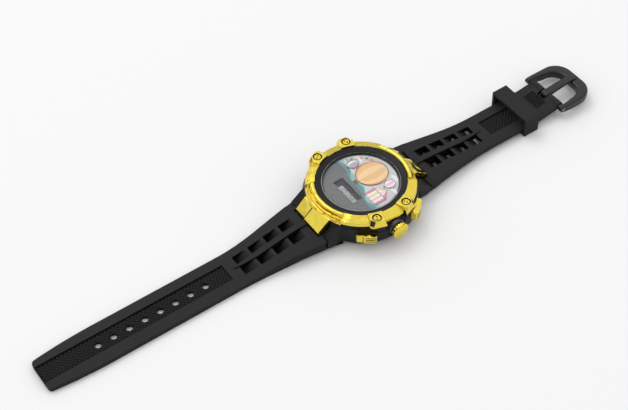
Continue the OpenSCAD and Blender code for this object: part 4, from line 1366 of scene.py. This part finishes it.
# A dark sheet under the slot of the tongue, where the table would show through: it stands in for the shadow
# there.
slot_shade_mesh = prism_mesh("tongue_slot_floor", [(-slot_half, slot_half, slot_shade_sheet)])
add_piece("tongue_slot_floor", slot_shade_mesh, vinyl_finish, "buckle_strap")
web_start = last_window + window_foot - web_back
web_end = last_window + window_length - web_gap
web_in = rib_side(web_end)
web_out = window_side(web_end) + window_over
web_outline = [(-web_start, web_low), (-web_end, web_low), (-web_end, web_thin), (-web_start, web_thick)]
web_mesh = prism_mesh("last_window_webs", [
    (web_in, web_out, web_outline), (-web_out, -web_in, web_outline)])
# The webs take a full painted shade.
mark_faces(web_mesh, "window", lambda centre, normal: True)
add_piece("last_window_webs", web_mesh, vinyl_finish, "hole_strap")
mould_line("hole_half_mould_line", "hole_strap", hole_low, -1, hole_joint_end)
mould_line("buckle_half_mould_line", "buckle_strap", buckle_low, 1, buckle_joint_end)
hole_far = hole_panel_end + hole_panel_past
buckle_far = buckle_panel_end + buckle_panel_past
hole_cuts = [
    panel_cut("hole_panel_cut", panel_play - panel_start, -hole_far, hole_panel_z),
    louvres("hole_half_cuts", hole_low, -1, hole_count)]
buckle_cuts = [
    panel_cut("buckle_panel_cut", panel_start - panel_play, buckle_far, buckle_panel_z),
    louvres("buckle_half_cuts", buckle_low, 1, 0)]
hole_strap = moulded_copy(
    "strap_with_holes", "strap_hole_half", vinyl_finish, strap_round, 3, hole_cuts)
buckle_strap = moulded_copy(
    "strap_with_buckle", "strap_buckle_half", vinyl_finish, strap_round, 3, buckle_cuts)


def half_low(place):
    """Height of the underside of the half that a place lies in, past its root."""
    return hole_low if place.y < 0 else buckle_low


def on_sunk_panel(centre, normal):
    """Floors of the sunk panels, which get painted shade."""
    surface = half_low(centre) + strap_thick + max(0.0, centre.y - end_start) * end_slope
    in_panel = abs(centre.x) < panel_half and abs(centre.y) > panel_start
    return in_panel and normal.z > 0.9 and centre.z < surface - 0.3


def in_window_cut(centre, normal):
    """Walls and ramps of the windows, and walls of the holes and panels: the faces that get painted shade.
    """
    along = abs(centre.y)
    beside_rib = rib_side(along) - 0.2 < abs(centre.x) < window_side(along) + 0.2
    in_row = window_first - 0.2 < along < last_window + window_length + 0.1
    window = beside_rib and in_row and -0.5 < normal.z < 0.97
    hole_wall = abs(centre.x) < hole_radius and centre.y < -60 and abs(normal.z) < 0.2
    panel_wall = abs(centre.x) < panel_half + 0.15 and along > panel_start - 0.6 and abs(normal.z) < 0.5
    return window or hole_wall or panel_wall


def shade_cuts(mesh):
    """Notes in an attribute how much painted shade a cut gets: its walls in full, its ramps more with their
    depth.
    """
    shade = []
    for face in mesh.polygons:
        cut = in_window_cut(face.center / MM, face.normal)
        ramp = face.normal.z > 0.4
        for corner in face.vertices:
            place = mesh.vertices[corner].co / MM
            low = half_low(place)
            along = abs(place.y)
            deep = way_along(place.z, top_at(along, low), under_at(along, low)) if ramp else 1.0
            shade.append(cut * deep)
    mesh.attributes.new("window", "FLOAT", "CORNER").data.foreach_set("value", shade)


for half in (hole_strap, buckle_strap):
    mark_faces(half.data, "panel", on_sunk_panel)
    shade_cuts(half.data)
raised_rib("hole_half_rib", "hole_strap", hole_low, -1)
raised_rib("buckle_half_rib", "buckle_strap", buckle_low, 1)


def diamond_tree():
    """Raises one blunt diamond on every point of a mesh."""
    tree, given, result = new_tree("diamond_pattern", "GeometryNodeTree", {
        "Points": "Geometry", "Half Diagonal": "Float", "Flat Top": "Float", "Height": "Float",
        "Tilt": "Float", "Finish": "Material"}, {"Geometry": "Geometry"})
    diamond = add_node(tree, "GeometryNodeMeshCone", {
        "Vertices": 4, "Radius Bottom": given["Half Diagonal"], "Radius Top": given["Flat Top"],
        "Depth": given["Height"]})
    rotation = turned_about(tree, "X", given["Tilt"])
    fill(tree, result, {"Geometry": set_on_points(
        tree, given["Points"], diamond.outputs["Mesh"], rotation, given["Finish"])})
    return tree


diamonds = diamond_tree()


def panel_points(start, end):
    """Places of the diamonds in a panel between two distances from the dial, in staggered rows."""
    half_pitch = diamond_pitch / 2
    rows = int((end - start) / half_pitch)
    first_row = start + (end - start - (rows - 1) * half_pitch) / 2
    places = []
    for row in range(rows):
        shift = half_pitch * (row % 2)
        columns = int((2 * panel_half - 2 * shift) / diamond_pitch + 0.01)
        first = -(columns - 1) / 2 * diamond_pitch
        y = first_row + half_pitch * row
        places += [(first + diamond_pitch * i, y) for i in range(columns)]
    return places


def diamond_panel(name, body, points, tilt=0.0):
    """The diamond pattern of one panel, on points in millimetres."""
    mesh = bpy.data.meshes.new(name)
    mesh.from_pydata([Vector(point) * MM for point in points], [], [])
    panel = linked(name, mesh)
    run_tree(panel, diamonds, {
        "Half Diagonal": diamond_pitch / 2 * diamond_fill * MM,
        "Flat Top": diamond_top * MM,
        "Height": diamond_height * MM,
        "Tilt": tilt,
        "Finish": panel_finish,
    })
    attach(panel, body)


long_points = []
for x, y in panel_points(panel_start, hole_panel_end):
    nearest = min(max(round((y - hole_first) / hole_pitch), 0), hole_count - 1)
    if math.hypot(x, y - hole_first - nearest * hole_pitch) > hole_clear:
        long_points.append((x, -y, hole_panel_z))
short_points = [(x, y, buckle_panel_z) for x, y in panel_points(panel_start, buckle_panel_end)]
end_points = [(x, y, end_panel_z + (y - end_start) * end_slope) for x, y in panel_points(*end_panel)]
diamond_panel("strap_diamonds", "hole_strap", long_points)
diamond_panel("buckle_strap_diamonds", "buckle_strap", short_points)
diamond_panel("strap_end_diamonds", "buckle_strap", end_points, math.atan(end_slope))

# Keeper
# A box-shaped loop of the same vinyl, moulded in one piece and pulled over the buckle half. It slides
# along the strap, and the loose end slips through it.
keeper_round = 0.22
moulded_copy("keeper_band", "keeper_loop", vinyl_finish, keeper_round, steps=3)

# Buckle
# A bow and a tongue, both moulded in hard black plastic. They turn on a steel pin through the end of
# the strap, whose polished ends show in the sides of the bow.
buckle_colour = (0.014, 0.014, 0.015, 1.0)
pivot_z = 3.95
bow_half = 10.6
bow_far = 103.4
bow_corner = 7.0
bow_pivot_half = 8.45
bow_inner_half = 7.75
bow_inner_far = 99.1
bow_inner_corner = 5.0
bow_half_t = 1.4
bow_deeper = 1.1
bow_deeper_by = 5.0
bow_fullness = 0.55
bow_sides = 24
strap_side_end = 1.7
strap_clear_end = 7.0
notch_half = 1.6
notch_low = 4.55
notch_near = bow_inner_far - 1
notch_far = bow_far - 0.6
bore_half = 12
bore_steps = 24
pin_r = 0.75
pin_round = 0.15
tongue_round = 0.35
tongue_taper = 0.32
taper_start = 1.6
taper_full = 2.8
taper_fade = 3.0
taper_end = 13.0
buckle_finish = moulded_finish(
    "buckle_plastic", buckle_colour, paler(buckle_colour, 2.5), 0.34, grain=0.3, bump=0.06, gloss=0.4)


def bow_outline(half, far, corner):
    """One edge of the bow from pivot to pivot, as places that match those of the other edge."""
    side = far - corner
    rise = [pivot_y + (side - pivot_y) * i / 8 for i in range(8)]
    points = [(-half, y) for y in rise]
    for centre, start in ((corner - half, 180), (half - corner, 90)):
        turns = [math.radians(start - 9 * i) for i in range(11)]
        points += [(centre + corner * math.cos(t), side + corner * math.sin(t)) for t in turns]
    return points + [(half, y) for y in reversed(rise)]


def fuller(value):
    """Pushes a sine outwards, so that a round section fills its corners."""
    return math.copysign(abs(value) ** bow_fullness, value)


def below_pivot(y):
    """How much deeper the bow's underside lies at a place, towards its far end."""
    return bow_deeper * way_along(y, pivot_y, pivot_y + bow_deeper_by) ** 0.6


def bow_ring(near, far, drop, half):
    """One section of the bow, between a place on its inner edge and one on its outer edge."""
    ring = []
    for i in range(bow_sides):
        turn = 2 * math.pi * (i + 0.5) / bow_sides
        across = 0.5 + 0.5 * fuller(math.cos(turn))
        x = near[0] + (far[0] - near[0]) * across
        y = near[1] + (far[1] - near[1]) * across - drop
        deep = below_pivot(y) if math.sin(turn) < 0 else 0.0
        ring.append((x, y, pivot_z + (half + deep) * fuller(math.sin(turn))))
    return ring


outer_edge = bow_outline(bow_half, bow_far, bow_corner)
inner_edge = []
for x, y in bow_outline(bow_inner_half, bow_inner_far, bow_inner_corner):
    beside_strap = 1 - eased(0.0, 1.0, y, pivot_y + strap_side_end, pivot_y + strap_clear_end)
    inner_edge.append((x + math.copysign(beside_strap * (bow_pivot_half - bow_inner_half), x), y))
eye_turns = [math.radians(18 * i) for i in range(1, 5)]
eye = [(bow_half_t * math.sin(turn), bow_half_t * math.cos(turn)) for turn in eye_turns]
rings = [bow_ring(inner_edge[0], outer_edge[0], drop, half) for drop, half in reversed(eye)]
rings += [bow_ring(near, far, 0.0, bow_half_t) for near, far in zip(inner_edge, outer_edge)]
rings += [bow_ring(inner_edge[-1], outer_edge[-1], drop, half) for drop, half in eye]
bow_mesh = skinned_mesh("buckle_bow", [rings])
bow_mesh.shade_smooth()
bow = add_piece("buckle_bow", bow_mesh, buckle_finish, "buckle", node="buckle_frame")
notch_sides = rectangle(notch_near, notch_far, notch_low, cut_top)
cut_away(bow, prism_mesh("notch", [(-notch_half, notch_half, notch_sides)]))
pin_bore = lathe("pin_bore", rectangle(0, pin_r, -bore_half, bore_half), bore_steps)
onto_pivot = Matrix.Translation((0, pivot_y * MM, pivot_z * MM)) @ Matrix.Rotation(math.pi / 2, 4, "Y")
pin_bore.transform(onto_pivot)
cut_away(bow, pin_bore)
bow.data.set_sharp_from_angle(angle=smooth_angle)
tongue = moulded_copy(
    "buckle_tongue_bar", "buckle_tongue", buckle_finish, tongue_round, steps=3)
for corner in tongue.data.vertices:
    along = corner.co.y / MM - pivot_y
    slimmer = way_along(along, taper_start, taper_full) * way_along(along, taper_end, taper_fade)
    corner.co.x *= 1 - tongue_taper * slimmer
moulded_copy("buckle_pin_rod", "buckle_pin", screw_finish, pin_round)
